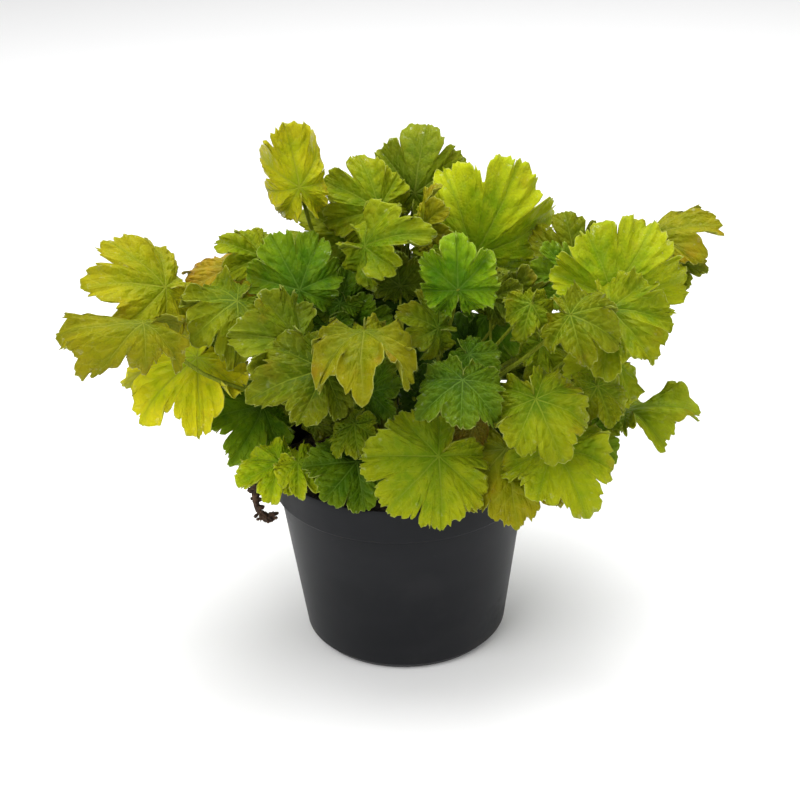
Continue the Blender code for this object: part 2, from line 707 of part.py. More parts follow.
def make_crown(placed_young, hole_bases):
    """The woody crown, with a hole for each grown leaf's stalk and the young leaves growing from it."""
    shoulder = 3 * MM
    profile = [
        (0, CROWN_BOTTOM),
        (CROWN_RADIUS - 1.5 * MM, CROWN_BOTTOM),
        (CROWN_RADIUS, CROWN_TOP - shoulder - 2 * MM),
        (CROWN_RADIUS - 0.8 * MM, CROWN_TOP - shoulder / 3),
        (CROWN_RADIUS - 1.6 * MM, CROWN_TOP),
        (0, CROWN_TOP),
    ]
    rootstock = material("rootstock", (0.11, 0.065, 0.03), 0.85)
    crown = add_object("crown", turned(profile, CROWN_SIDES), rootstock)
    hole_radius = STALK_RADIUS + SEAT_GAP / math.cos(math.pi / STALK_SIDES)
    holes = bmesh.new()
    for base in hole_bases:
        depth = 2 * (CROWN_TOP - HOLE_FLOOR)
        place = Matrix.Translation((base.x, base.y, CROWN_TOP))
        made = bmesh.ops.create_circle(holes, cap_ends=True, segments=STALK_SIDES, radius=hole_radius)
        start = math.atan2(made["verts"][0].co.y, made["verts"][0].co.x)
        align = Matrix.Rotation(-start, 4, "Z")
        down = Matrix.Translation((0, 0, -depth / 2))
        bmesh.ops.transform(holes, matrix=place @ down @ align, verts=made["verts"])
        face = made["verts"][0].link_faces[0]
        drawn = bmesh.ops.extrude_face_region(holes, geom=[face])
        raised = [item for item in drawn["geom"] if isinstance(item, bmesh.types.BMVert)]
        bmesh.ops.translate(holes, verts=raised, vec=(0, 0, depth))
    bmesh.ops.recalc_face_normals(holes, faces=holes.faces[:])
    cutter = add_object("stalk_holes", holes, rootstock)
    boolean(crown, "DIFFERENCE", cutter)
    bpy.data.objects.remove(cutter)
    shoots = bpy.data.collections.new("young leaves")
    bpy.context.scene.collection.children.link(shoots)
    for leaf, frame, rings, _ in placed_young:
        bm = leaf_mesh(leaf, frame, rings, Vector())
        shoot = add_object(leaf.name, bm, leaf_material(leaf))
        bpy.context.collection.objects.unlink(shoot)
        shoots.objects.link(shoot)
    boolean(crown, "UNION", shoots)
    for shoot in list(shoots.objects):
        bpy.data.objects.remove(shoot)
    bpy.data.collections.remove(shoots)
    return crown


def object_obstacle(obj):
    points = [vert.co.copy() for vert in obj.data.vertices]
    return as_obstacle(points, [tuple(face.vertices) for face in obj.data.polygons])


def main():
    clear_scene()
    pot = make_pot()
    soil = make_soil()
    grown = GROWN_LEAVES + back_leaves()
    bases = stalk_bases(YOUNG_LEAVES + grown)
    young_bases = bases[: len(YOUNG_LEAVES)]
    grown_bases = bases[len(YOUNG_LEAVES) :]
    obstacles = [object_obstacle(pot), object_obstacle(soil)]
    young = make_leaves(YOUNG_LEAVES, young_bases, obstacles, fixed=True)
    placed = make_leaves(grown, grown_bases, obstacles, fixed=False)
    make_crown(young, grown_bases)
    for leaf, frame, rings, base in placed:
        foot = Vector((base.x, base.y, CROWN_TOP))
        bm = leaf_mesh(leaf, frame, rings, foot)
        made = add_object(f"leaf_{leaf.name}", bm, leaf_material(leaf), foot)
        made.data.shade_smooth()
        made.data.set_sharp_from_angle(angle=math.radians(50))


main()
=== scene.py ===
# A heuchera in its nursery pot: fine leaves, stalks, crown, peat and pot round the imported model.
# Metres, +Z up, the plant's front towards -Y.

import math
import random

import bmesh
import bpy
from mathutils import Matrix, Vector, noise


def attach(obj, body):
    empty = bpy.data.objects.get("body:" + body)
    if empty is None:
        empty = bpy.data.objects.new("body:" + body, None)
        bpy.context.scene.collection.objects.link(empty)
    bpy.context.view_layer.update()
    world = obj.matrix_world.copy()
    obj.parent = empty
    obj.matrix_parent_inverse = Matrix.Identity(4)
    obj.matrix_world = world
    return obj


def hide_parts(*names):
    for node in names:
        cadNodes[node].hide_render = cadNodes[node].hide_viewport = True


mm = 0.001
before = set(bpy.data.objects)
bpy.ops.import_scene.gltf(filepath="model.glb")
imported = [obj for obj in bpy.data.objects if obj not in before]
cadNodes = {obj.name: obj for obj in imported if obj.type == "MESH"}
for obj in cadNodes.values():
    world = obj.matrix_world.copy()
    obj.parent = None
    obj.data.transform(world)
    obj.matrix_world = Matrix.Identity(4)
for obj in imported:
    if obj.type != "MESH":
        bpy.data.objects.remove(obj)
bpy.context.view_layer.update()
print("frame loaded:", len(cadNodes), "nodes")


# Small tools for meshes and materials

def newObject(name, bm, finishes=()):
    mesh = bpy.data.meshes.new(name)
    bm.to_mesh(mesh)
    bm.free()
    for finish in finishes:
        mesh.materials.append(finish)
    made = bpy.data.objects.new(name, mesh)
    bpy.context.scene.collection.objects.link(made)
    return made


def newPiece(name, bm, finishes, slot, *stoodFor):
    corner = bm.verts.layers.int.get("corner")
    if corner:  # the ring numbers of a swept tube
        bm.verts.layers.int.remove(corner)
    piece = newObject(name, bm, finishes)
    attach(piece, "root")
    if stoodFor:
        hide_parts(*stoodFor)
    return piece


def newMaterial(name, **plain):
    finish = bpy.data.materials.new(name)
    finish.use_nodes = True
    shader = finish.node_tree.nodes["Principled BSDF"]
    for key, value in plain.items():
        shader.inputs[key.replace("_", " ")].default_value = value
    return finish, finish.node_tree, shader


def addNode(tree, kind, inputs=None, **settings):
    made = tree.nodes.new("ShaderNode" + kind)
    for key, value in settings.items():
        setattr(made, key, value)
    for key, value in (inputs or {}).items():
        if isinstance(value, bpy.types.NodeSocket):
            tree.links.new(value, made.inputs[key])
        else:
            made.inputs[key].default_value = value
    return made


def calc(tree, operation, *values):
    return addNode(tree, "Math", dict(enumerate(values)), operation=operation).outputs[0]


def fade(tree, value, low, high, start=0.0, end=1.0):  # smooth step from start to end
    inputs = {"Value": value, "From Min": low, "From Max": high, "To Min": start, "To Max": end}
    return addNode(tree, "MapRange", inputs, interpolation_type="SMOOTHSTEP").outputs[0]


def mixed(tree, factor, first, second, way="MIX"):  # a colour is a socket or three values
    first, second = ((*tone, 1) if isinstance(tone, tuple) else tone for tone in (first, second))
    inputs = {0: factor, 6: first, 7: second}
    return addNode(tree, "Mix", inputs, data_type="RGBA", blend_type=way).outputs[2]


def noiseAt(tree, place, scale, detail=2.0, roughness=0.5):
    inputs = {"Vector": place, "Scale": scale, "Detail": detail, "Roughness": roughness}
    return addNode(tree, "TexNoise", inputs).outputs[0]


def cellsAt(tree, place, scale, feature="DISTANCE_TO_EDGE"):
    inputs = {"Vector": place, "Scale": scale}
    return addNode(tree, "TexVoronoi", inputs, feature=feature).outputs["Distance"]


def bumped(tree, shader, height, distance, strength=1.0):
    bump = addNode(tree, "Bump", {"Height": height, "Distance": distance, "Strength": strength})
    tree.links.new(bump.outputs[0], shader.inputs["Normal"])


def objectPlace(tree, shift=(0, 0, 0), stretch=(1, 1, 1)):
    coordinates = addNode(tree, "TexCoord").outputs["Object"]
    inputs = {"Vector": coordinates, "Location": shift, "Scale": stretch}
    return addNode(tree, "Mapping", inputs).outputs[0]


def sweep(bm, path, radii, sides, materialIndex=0):  # a capped tube along the path
    corner = bm.verts.layers.int.get("corner") or bm.verts.layers.int.new("corner")
    ring = bmesh.ops.create_circle(bm, cap_ends=True, segments=sides, radius=1)["verts"]
    for number, vert in enumerate(ring):
        vert[corner] = number
    shape = [vert.co.copy() for vert in ring]
    faces = [ring[0].link_faces[0]]
    edges = list(faces[0].edges)
    ways = [after - before for before, after in zip(path[:1] + path, path[1:] + path[-1:])]
    across = ways[0].orthogonal()
    for step, (centre, way, radius) in enumerate(zip(path, ways, radii)):
        if step:
            drawn = bmesh.ops.extrude_edge_only(bm, edges=edges)["geom"]
            ring = [item for item in drawn if isinstance(item, bmesh.types.BMVert)]
            held = set(ring)
            edges = [item for item in drawn
                     if isinstance(item, bmesh.types.BMEdge) and held.issuperset(item.verts)]
            faces += [item for item in drawn if isinstance(item, bmesh.types.BMFace)]
        way = way.normalized()
        across = (across - way * across.dot(way)).normalized()
        turn = Matrix((across, way.cross(across), way)).transposed()
        for vert in ring:
            vert.co = centre + turn @ (shape[vert[corner]] * radius)
    faces += bmesh.ops.contextual_create(bm, geom=edges)["faces"]
    for face in faces:
        face.material_index = materialIndex
        face.smooth = True
    return faces


def smoothPath(points, parts):  # a curve through the points, each stretch in so many parts
    ends = [points[0] * 2 - points[1]] + points + [points[-1] * 2 - points[-2]]
    path = []
    for a, b, c, d in zip(ends, ends[1:], ends[2:], ends[3:]):
        for part in range(parts):
            t = part / parts
            square = (a * 2 - b * 5 + c * 4 - d) * t**2
            cube = (b * 3 - a - c * 3 + d) * t**3
            path.append(0.5 * (b * 2 + (c - a) * t + square + cube))
    return path + [points[-1]]


# The leaves that the photo shows: droop and sides in degrees, ruffle as a share of the length,
# hue and lightness. The lightness is partly the leaf's own tone and partly painted light and
# shade:
# it is raised on leaves that lie in shadow and lowered on some others, to set how lit each one
# looks.

leafForms = {
    "far_left_top": (25, 35, 0.15, "gold", 1.12),
    "rim_right_old": (35, 20, 0.12, "gold", 0.95),
    "front_centre": (25, 10, 0.11, "lime", 1.28),
    "withered_small": (20, 80, 0.1, "amber", 1),
    "front_left": (25, 10, 0.12, "green", 0.82),
    "right_lower": (25, 5, 0.2, "lime", 1.3),
    "rim_left_outer": (20, 35, 0.22, "lime", 2),
    "rim_left_inner": (20, 30, 0.22, "lime", 1.6),
    "right_front": (20, 10, 0.2, "lime", 1),
    "right_lower_behind": (30, 20, 0.16, "green", 1),
    "mid_right_green": (25, 20, 0.16, "green", 0.7),
    "inner_right_small": (20, 10, 0.14, "deep", 1),
    "centre_yellow": (35, 50, 0.3, "gold", 0.92),
    "left_centre_lower": (20, 15, 0.18, "lime", 0.6),
    "left_centre_olive": (20, 20, 0.18, "olive", 1.2),
    "left_bright_big": (30, 25, 0.26, "gold", 2.3),
    "left_mid_bright": (25, 25, 0.28, "lime", 0.75),
    "left_old_orange": (20, 50, 0.14, "amber", 1.3),
    "left_most": (20, 112, 0.2, "gold", 0.85),
    "left_dark_lower": (25, 25, 0.16, "green", 1.15),
    "left_big_green": (15, 15, 0.16, "green", 1.2),
    "left_top_small": (20, 30, 0.28, "lime", 1.15),
    "top_left_lone": (15, 105, 0.24, "gold", 1.6),
    "centre_top_bright": (20, 30, 0.28, "lime", 1.2),
    "centre_green_ruffled": (10, 10, 0.32, "green", 1.7),
    "top_folded": (20, 60, 0.16, "gold", 1),
    "top_left_pale": (25, 25, 0.2, "lime", 1.1),
    "top_left_lower": (20, 20, 0.18, "lime", 1),
    "top_right_big": (20, 55, 0.14, "lime", 1.7),
    "top_centre": (30, 25, 0.16, "olive", 1.15),
    "small_bright": (20, 20, 0.3, "lime", 1),
    "right_ruffled": (20, 15, 0.3, "lime", 0.75),
    "right_big_upper": (15, 5, 0.22, "lime", 1.4),
    "right_big_lower": (25, 10, 0.22, "lime", 1),
    "far_right_top": (30, 25, 0.18, "gold", 0.87),
    "far_right_behind": (20, 15, 0.15, "olive", 1),
    "right_mid": (20, 10, 0.14, "lime", 1.3),
    "right_low_dark": (20, 20, 0.24, "lime", 0.9),
    "far_right_low": (15, 10, 0.22, "olive", 1.7),
    "right_yellow_old": (15, 15, 0.14, "gold", 0.9),
    "right_back_upper": (30, 15, 0.14, "lime", 0.65),
    "right_back_lower": (20, 15, 0.14, "green", 1.1),
    "mid_dark_right": (20, 15, 0.15, "green", 1.4),
    "left_dark_mid": (20, 15, 0.16, "olive", 0.85),
    "left_green_behind": (20, 20, 0.15, "green", 1),
}
# The young leaves of the crown: hub and tip in mm, azimuth and level they face, and their form
youngForms = {
    "young_mid": ((-17, -36, 169), (2, -46, 178), (5, 40), 10, 10, 0.16, "green", 1),
    "young_curled": ((-25, -52, 158), (-37, -60, 145), (-50, 35), 10, 50, 0.12, "lime", 1),
    "centre_left_small": ((22, -20, 199), (3, -26, 213), (-5, 50), 20, 25, 0.2, "lime", 1),
    "centre_right_small": ((38, -36, 190), (53, -44, 181), (5, 50), 25, 25, 0.18, "green", 1),
    "inner_back": ((5, 44, 189), (-1, 38, 152), (0, 35), 10, 15, 0.14, "deep", 1),
    "inner_low": ((25, 36, 173), (31, 28, 144), (5, 35), 10, 15, 0.14, "deep", 1),
    "inner_left": ((-32, 6, 204), (-42, 12, 222), (-5, 35), 10, 15, 0.14, "green", 1),
    "inner_right": ((52, 6, 204), (68, 2, 214), (5, 40), 10, 15, 0.2, "olive", 1),
    "inner_mid": ((2, 10, 212), (0, 14, 232), (0, 35), 10, 15, 0.18, "olive", 1),
}
# Leaves low inside the clump, in the same way
innerForms = {
    "inner_a": ((-26, 12, 186), (-17, 8, 211), (10, 45), 15, 20, 0.2, "green", 0.9),
    "inner_b": ((12, 22, 196), (1, 18, 220), (-10, 45), 15, 20, 0.2, "deep", 1),
    "inner_c": ((41, 15, 166), (31, 11, 190), (8, 45), 15, 20, 0.2, "deep", 1.2),
    "inner_d": ((80, -2, 180), (92, -8, 160), (25, 50), 20, 20, 0.24, "lime", 1.2),
    "inner_e": ((-40, 2, 191), (-50, -4, 169), (-15, 45), 20, 20, 0.2, "green", 0.8),
    "inner_f": ((-6, 27, 202), (-14, 22, 225), (-5, 45), 15, 20, 0.2, "green", 0.8),
    "inner_g": ((20, -16, 150), (12, -20, 173), (-5, 40), 15, 20, 0.2, "deep", 1.1),
    "inner_h": ((64, 17, 196), (73, 12, 218), (15, 45), 15, 20, 0.22, "olive", 0.9),
    "inner_i": ((-54, -20, 148), (-44, -24, 169), (-20, 40), 15, 20, 0.2, "olive", 0.8),
    "inner_j": ((4, 10, 150), (14, 6, 175), (5, 35), 15, 20, 0.2, "deep", 1),
    "inner_k": ((-12, 24, 168), (-22, 20, 192), (-5, 35), 15, 20, 0.2, "deep", 1),
    "inner_l": ((30, 24, 200), (22, 20, 224), (5, 40), 15, 20, 0.2, "green", 0.7),
}


def backForms():  # the far side's leaves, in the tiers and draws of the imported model
    draw = random.Random(7)
    hues = ("olive", "lime", "green", "gold")
    forms = {}
    for level, count in enumerate((5, 4, 3)):
        for place in range(count):
            for spread in (5, 9, 7, 9):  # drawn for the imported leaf's place and size
                draw.uniform(-spread, spread)
            draw.uniform(0.88, 1.1)
            form = (draw.uniform(18, 32), draw.uniform(8, 26), draw.uniform(0.13, 0.2))
            forms[f"back_{level + 1}_{place + 1}"] = (*form, hues[(level + place) % 4], 1)
    return forms


leafForms.update(backForms())

blade = {
    "lobeSpan": 47,  # degrees
    "halfLobe": 0.41,  # radians
    "hubShare": 0.07,
    "envelope": (  # degrees from the tip and reach there
        (0, 1.0), (47, 0.9), (94, 0.75), (141, 0.6), (166, 0.54), (175, 0.32), (180, 0.16)),
    "fullness": 1.05,
    "sinusDepth": 0.12,
    "sinusPower": 5,
    "slitDepth": (0.03, 0.2),
    "slitPower": 26,
    "toothDepth": 0.05,
    "teeth": (7, 19),
    "smallTooth": 0.7,  # of a large one
    "toothWander": 0.05,
    "toothSwell": 0.6,
    "lobeVariety": 0.09,
    "usualRuffle": 0.16,  # curls and frills are given for it
    "gatherRuffle": 0.2,  # the gather is given for it
    "waveShares": (0.55, 0.45),  # one wave a lobe, three round the blade
    "frillHeight": 0.07,
    "frillCounts": (13, 25, 41),
    "frillSizes": (1, 0.85, 0.7),
    "frillGather": 0.55,
    "rimCurl": 0.09,
    "lobeCurl": (-0.15, 0.07),
    "puckerHeight": 0.6 * mm,
    "puckerSize": 6.5 * mm,
    "grooveDepth": 0.45 * mm,
    "grooveWidth": 1.3 * mm,
    "thickness": 0.45 * mm,
    "largeFrom": 42 * mm,  # a longer blade is a large one
    "largeSteps": (40, 13),  # columns a lobe and rows
    "smallSteps": (28, 10),
    "rowCrowding": 0.75,
    "cadThickness": 0.8 * mm,
    "cadHubTip": 1.35,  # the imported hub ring's reach to the tip, of that to a side
}


def lobeAt(angle):  # -3 to 3, with 0 at the tip
    return max(-3, min(3, round(angle / blade["lobeSpan"])))


def lobeOffset(angle):  # -1 and 1 in the notches beside a lobe, 0 at its middle
    side = abs(angle)
    half = blade["lobeSpan"] / 2
    lobe = min(3, int((side + half) // blade["lobeSpan"]))
    return max(-1.0, min(1.0, (side - lobe * blade["lobeSpan"]) / half))


def edgeReach(angle, lobeLengths, slits):  # for a length of 1
    side = abs(angle)
    for (low, near), (high, far) in zip(blade["envelope"], blade["envelope"][1:]):
        if side <= high:
            reach = near + (far - near) * (side - low) / (high - low)
            break
    offset = abs(lobeOffset(angle))
    reach *= 1 + lobeLengths[lobeAt(angle) + 3] * (1 - offset**4)
    slit = slits[min(7, int(angle / blade["lobeSpan"] + 4))] * offset ** blade["slitPower"]
    reach *= 1 - blade["sinusDepth"] * offset ** blade["sinusPower"] - slit
    # The teeth drift and swell slowly along the edge, each leaf in its own way
    offset += blade["toothWander"] * math.sin(angle * 0.21 + lobeLengths[1] * 90)
    swell = 1 + blade["toothSwell"] * math.sin(angle * 0.31 + lobeLengths[0] * 60)
    many, fine = blade["teeth"]
    large = 1 - abs(math.cos(many * math.pi / 2 * offset))
    small = abs(math.sin(fine * math.pi / 2 * offset))
    toothed = large + blade["smallTooth"] * small
    return reach * blade["fullness"] * (1 - blade["toothDepth"] * swell * toothed)


class Leaf:
    def __init__(self, name, droop, sides, ruffle, hue, light):
        self.name = name
        self.droop = math.radians(droop)
        self.sides = math.radians(sides)
        self.ruffle = ruffle
        self.hue = hue
        self.light = light
        self.narrow = 0
        self.size = 1
        draw = random.Random("blade " + name)
        self.lobeLengths = [draw.uniform(-1, 1) * blade["lobeVariety"] for _ in range(7)]
        self.frills = [(count, size * draw.uniform(0.6, 1), draw.uniform(0, 6.28))
                       for count, size in zip(blade["frillCounts"], blade["frillSizes"])]
        self.curl = [draw.uniform(*blade["lobeCurl"]) * ruffle / blade["usualRuffle"]
                     for _ in range(7)]
        self.slits = [draw.uniform(*blade["slitDepth"]) for _ in range(8)]
        self.shift = Vector(draw.uniform(-1, 1) for _ in range(3))

    def bent(self, along, aside, height, length):  # drooped along the blade, folded across it
        bend = self.droop / length
        fold = self.sides / length
        x = math.sin(bend * along) / bend
        y = math.sin(fold * aside) / fold
        z = height - (1 - math.cos(bend * along)) / bend - (1 - math.cos(fold * aside)) / fold
        return Matrix.Rotation(-self.droop / 2, 3, "Y") @ Vector((x, y, z))

    def point(self, length, angle, share):  # share is 0 at the hub and 1 at the edge
        turn = math.radians(angle)
        offset = lobeOffset(angle)
        edge = edgeReach(angle, self.lobeLengths, self.slits) * length * self.size
        edge *= 1 - self.narrow * math.sin(turn) ** 2
        hub = blade["hubShare"] * length
        radius = share * edge
        out = max(0.0, (radius - hub) / (edge - hub))
        lobeShare, slowShare = blade["waveShares"]
        lobeWave = -math.cos(math.pi * offset)
        slowWave = math.sin(3 * turn + len(self.name))
        wave = lobeShare * lobeWave + slowShare * slowWave
        height = self.ruffle * length * out**2 * wave
        frill = sum(size * math.sin(count * turn + phase) for count, size, phase in self.frills)
        frillHeight = blade["frillHeight"] * self.ruffle / blade["usualRuffle"]
        height += frillHeight * length * out**3 * frill / 2
        outer = max(0.0, out - 0.5) / 0.5
        height += self.curl[lobeAt(angle) + 3] * length * outer**2 * (1 - 0.7 * offset**2)
        slide = sum(size * math.cos(count * turn + phase) / count
                    for count, size, phase in self.frills)
        gather = blade["frillGather"] * self.ruffle / blade["gatherRuffle"]
        gathered = turn + gather * slide * out**3
        along = radius * math.cos(gathered)
        aside = radius * math.sin(gathered)
        rim = max(0.0, out - 0.8) / 0.2
        rimPlace = Vector((math.cos(turn), math.sin(turn), 0)) * 2.2 + self.shift * 9
        height += blade["rimCurl"] * length * rim**1.5 * noise.noise(rimPlace)
        place = Vector((along, aside, 0)) / blade["puckerSize"] + self.shift * 40
        pucker = noise.noise(place) + 0.5 * noise.noise(place * 2.1)
        height += pucker * blade["puckerHeight"] * min(1, out * 3)
        gap = blade["halfLobe"] * abs(offset) * radius
        groove = math.exp(-((gap / blade["grooveWidth"]) ** 2))
        height -= blade["grooveDepth"] * groove * min(1, out * 4)
        return self.bent(along, aside, height, length)

    def cadHub(self):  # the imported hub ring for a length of 1: tip, notch and both sides
        hub = blade["hubShare"]
        tipSide = self.bent(hub, 0, 0, 1) * blade["cadHubTip"]
        return tipSide, self.bent(-hub, 0, 0, 1), self.bent(0, hub, 0, 1), self.bent(0, -hub, 0, 1)


stalk = {
    "foot": 99 * mm,  # height of a packed stalk's first ring
    "spread": 26 * mm,
    "youngFoot": 104 * mm,
    "innerSpread": 0.22,  # a foot's reach, of its hub's
    "innerBow": 0.12,
    "sides": 10,
    "parts": 4,
    "thickness": 1.35 * mm,
    "thin": 0.9 * mm,
}


def basisOf(front, back, left, right):
    along = (front - back).normalized()
    aside = left - right
    aside = (aside - along * aside.dot(along)).normalized()
    turn = Matrix((along, aside, along.cross(aside))).transposed()
    return turn, (front + back + left + right) / 4


def mergedCopy(nodeName):
    bm = bmesh.new()
    bm.from_mesh(cadNodes[nodeName].data)
    bmesh.ops.remove_doubles(bm, verts=bm.verts[:], dist=0.01 * mm)
    return bm


def around(ring, seen):  # the neighbours of a ring, apart from those seen
    fresh = {edge.other_vert(vert) for vert in ring for edge in vert.link_edges} - seen
    return sorted(fresh, key=lambda vert: vert.co[:])


def middle(ring):
    return sum((vert.co for vert in ring), Vector()) / len(ring)


def stalkRings(bm):  # the rings of a packed stalk, from its foot up to the hub
    ring = [vert for vert in bm.verts
            if abs(vert.co.z - stalk["foot"]) < 0.05 * mm and vert.co.xy.length < stalk["spread"]]
    rings, seen = [], set()
    while len(ring) == 4:
        rings.append(ring)
        seen.update(ring)
        ring = around(ring, seen)
    return rings, seen


def overHub(bm, ring, seen):  # the corners of the blade's upper side over the hub's ring
    thick = blade["cadThickness"]
    tops = []
    for vert in ring:
        near = [other.co.copy() for other in bm.verts
                if other not in seen and (other.co - vert.co).length < 2 * thick]
        tops.append(min(near, key=lambda place: abs((place - vert.co).length - thick)))
    return tops


def readLeaf(leaf):  # pose, length and stalk of a packed leaf
    bm = mergedCopy("leaf_" + leaf.name)
    rings, seen = stalkRings(bm)
    path = [middle(ring) for ring in rings]
    tops = overHub(bm, rings[-1], seen)
    out = sum((top - vert.co for top, vert in zip(tops, rings[-1])), Vector())
    bm.free()
    spans = [((a - b).length, a, b) for i, a in enumerate(tops) for b in tops[:i]]
    _, front, back = max(spans, key=lambda span: span[0])
    left, right = (top for top in tops if top not in (front, back))
    between = (left + right) / 2
    if (front - between).length < (back - between).length:
        front, back = back, front
    if out.cross(front - back).dot(left - right) < 0:
        left, right = right, left
    hub = leaf.cadHub()
    length = (front - back).length / (hub[0] - hub[1]).length
    here, hereMiddle = basisOf(front, back, left, right)
    plain, plainMiddle = basisOf(*hub)
    turn = here @ plain.transposed()
    pose = turn.to_4x4()
    pose.translation = hereMiddle - turn @ (plainMiddle * length)
    return pose, length, path


def youngPose(hub, tip, face):
    hub, tip = Vector(hub) * mm, Vector(tip) * mm
    azimuth, level = (math.radians(angle) for angle in face)
    flat = math.cos(level)
    towards = Vector((math.sin(azimuth) * flat, -math.cos(azimuth) * flat, math.sin(level)))
    along = (tip - hub).normalized()
    out = (towards - along * towards.dot(along)).normalized()
    pose = Matrix((along, out.cross(along), out)).transposed().to_4x4()
    pose.translation = hub
    return pose, (tip - hub).length


def readYoung(leaf, pose, length):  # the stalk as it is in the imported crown
    bm = mergedCopy("crown")
    ring = []
    for place in leaf.cadHub():
        under = pose @ (place * length - Vector((0, 0, blade["cadThickness"])))
        ring.append(min(bm.verts, key=lambda vert: (vert.co - under).length))
    seen = set(ring)
    path = [middle(ring)]
    while len(set(ring)) == 4:
        last = middle(ring)
        ring = [vert for vert in around(ring, seen)
                if len(path) > 1 or (vert.co - last).length < 0.3 * length]
        if len(ring) == 4:
            path.append(middle(ring))
            seen.update(ring)
    bm.free()
    foot = path[-1].copy()
    foot.z = stalk["youngFoot"]
    return [foot] + path[::-1]


def innerStalk(pose):  # a slender stalk from the crown up to the hub
    hub = pose.translation
    share = stalk["innerSpread"]
    foot = Vector((hub.x * share, hub.y * share, stalk["youngFoot"]))
    bow = Vector((-hub.x, -hub.y, 20 * mm)) * stalk["innerBow"]
    knee = foot.lerp(hub, 0.5) + bow
    underHub = hub - pose.to_3x3() @ Vector((0, 0, mm))
    return [foot, foot.lerp(knee, 0.5), knee, knee.lerp(hub, 0.55), underHub]


def columnAngles(lobeSteps, notchSteps=5):  # round the blade, from the stalk's notch to itself
    reach = 3.5 * blade["lobeSpan"]
    bare = (180 - reach) / notchSteps
    angles = [-180 + bare * step for step in range(notchSteps)]
    angles += [-reach + step * blade["lobeSpan"] / lobeSteps for step in range(7 * lobeSteps + 1)]
    return angles + [reach + bare * (step + 1) for step in range(notchSteps)]


def bladeMesh(leaf, length, pose):
    lobeSteps, rows = blade["largeSteps" if length > blade["largeFrom"] else "smallSteps"]
    angles = columnAngles(lobeSteps)
    columns = len(angles) - 1
    shares = [(row / rows) ** blade["rowCrowding"] for row in range(rows + 1)]
    bm = bmesh.new()
    bmesh.ops.create_grid(bm, x_segments=columns, y_segments=rows, size=1)
    uvLayer = bm.loops.layers.uv.new("veins")
    places = {vert: (round((vert.co.x + 1) / 2 * columns), round((vert.co.y + 1) / 2 * rows))
              for vert in bm.verts}
    for face in bm.faces:
        centre = sum(angles[places[vert][0]] for vert in face.verts) / 4
        lobe = lobeAt(centre) * blade["lobeSpan"]
        for loop in face.loops:
            column, row = places[loop.vert]
            offset = max(-1.0, min(1.0, (angles[column] - lobe) / blade["lobeSpan"] * 2))
            loop[uvLayer].uv = (offset * shares[row], shares[row])
    for vert, (column, row) in places.items():
        vert.co = leaf.point(length, angles[column], shares[row])
    bmesh.ops.remove_doubles(bm, verts=bm.verts[:], dist=0.001 * mm)
    bmesh.ops.reverse_faces(bm, faces=bm.faces[:])
    bm.normal_update()
    upper = bm.faces[:]
    under = bmesh.ops.duplicate(bm, geom=bm.verts[:] + bm.edges[:] + upper)["geom"]
    for item in under:
        if isinstance(item, bmesh.types.BMVert):
            item.co -= item.normal * blade["thickness"]
    lower = [item for item in under if isinstance(item, bmesh.types.BMFace)]
    bmesh.ops.reverse_faces(bm, faces=lower)
    for face in lower:
        face.material_index = 1
    rims = [edge for edge in bm.edges if edge.is_boundary]
    for face in bmesh.ops.bridge_loops(bm, edges=rims)["faces"]:
        for loop in face.loops:
            loop[uvLayer].uv = (0.5, 1)
    for face in bm.faces:
        face.smooth = True
    bm.transform(pose)
    return bm


# The leaves' finish: main colour, fresh patches, round the hub, towards the edge, veins and
# share of amber

leafHues = {
    "lime": ((0.120, 0.185, 0.002), (0.225, 0.260, 0.003), (0.062, 0.130, 0.001),
        (0.270, 0.280, 0.005), (0.280, 0.330, 0.025), 0.1),
    "gold": ((0.180, 0.200, 0.002), (0.280, 0.270, 0.003), (0.110, 0.155, 0.002),
        (0.300, 0.255, 0.006), (0.310, 0.310, 0.030), 0.4),
    "green": ((0.060, 0.142, 0.002), (0.125, 0.215, 0.003), (0.034, 0.085, 0.001),
        (0.180, 0.250, 0.006), (0.170, 0.280, 0.030), 0.0),
    "olive": ((0.088, 0.132, 0.003), (0.150, 0.195, 0.003), (0.050, 0.088, 0.002),
        (0.185, 0.200, 0.006), (0.220, 0.250, 0.030), 0.1),
    "amber": ((0.210, 0.160, 0.006), (0.300, 0.240, 0.008), (0.120, 0.120, 0.005),
        (0.300, 0.130, 0.010), (0.340, 0.280, 0.050), 1.0),
    "deep": ((0.024, 0.062, 0.002), (0.048, 0.110, 0.003), (0.014, 0.040, 0.002),
        (0.070, 0.125, 0.006), (0.085, 0.150, 0.020), 0.0),
}
leafLook = {
    "veinWidth": 0.5 * mm,
    "secondStep": 0.17,
    "secondLean": 0.489,
    "netSize": 2.6 * mm,
    "patchSize": 28 * mm,
    "mottleSize": 7 * mm,
    "stain": (0.27, 0.13, 0.006),
    # painted highlight: pale spots along the very margin
    "paleEdge": (0.42, 0.44, 0.12),
    "speck": (0.10, 0.05, 0.01),
    "underside": (0.13, 0.17, 0.03),
    # painted shade inside the clump: its tone, the height of the clump's middle and its reach
    "shadeTone": (0.3, 0.42, 0.4),
    "shadeCentre": 0.17,  # height of the clump's middle
    "shadeReach": (45 * mm, 115 * mm),
    "roughness": 0.4,
    "underRoughness": 0.62,
    "gloss": 0.05,
    "sheen": 0.55,
    "subsurface": 0.2,
    "quilting": 2.4,
    "pleats": 3.2,
}


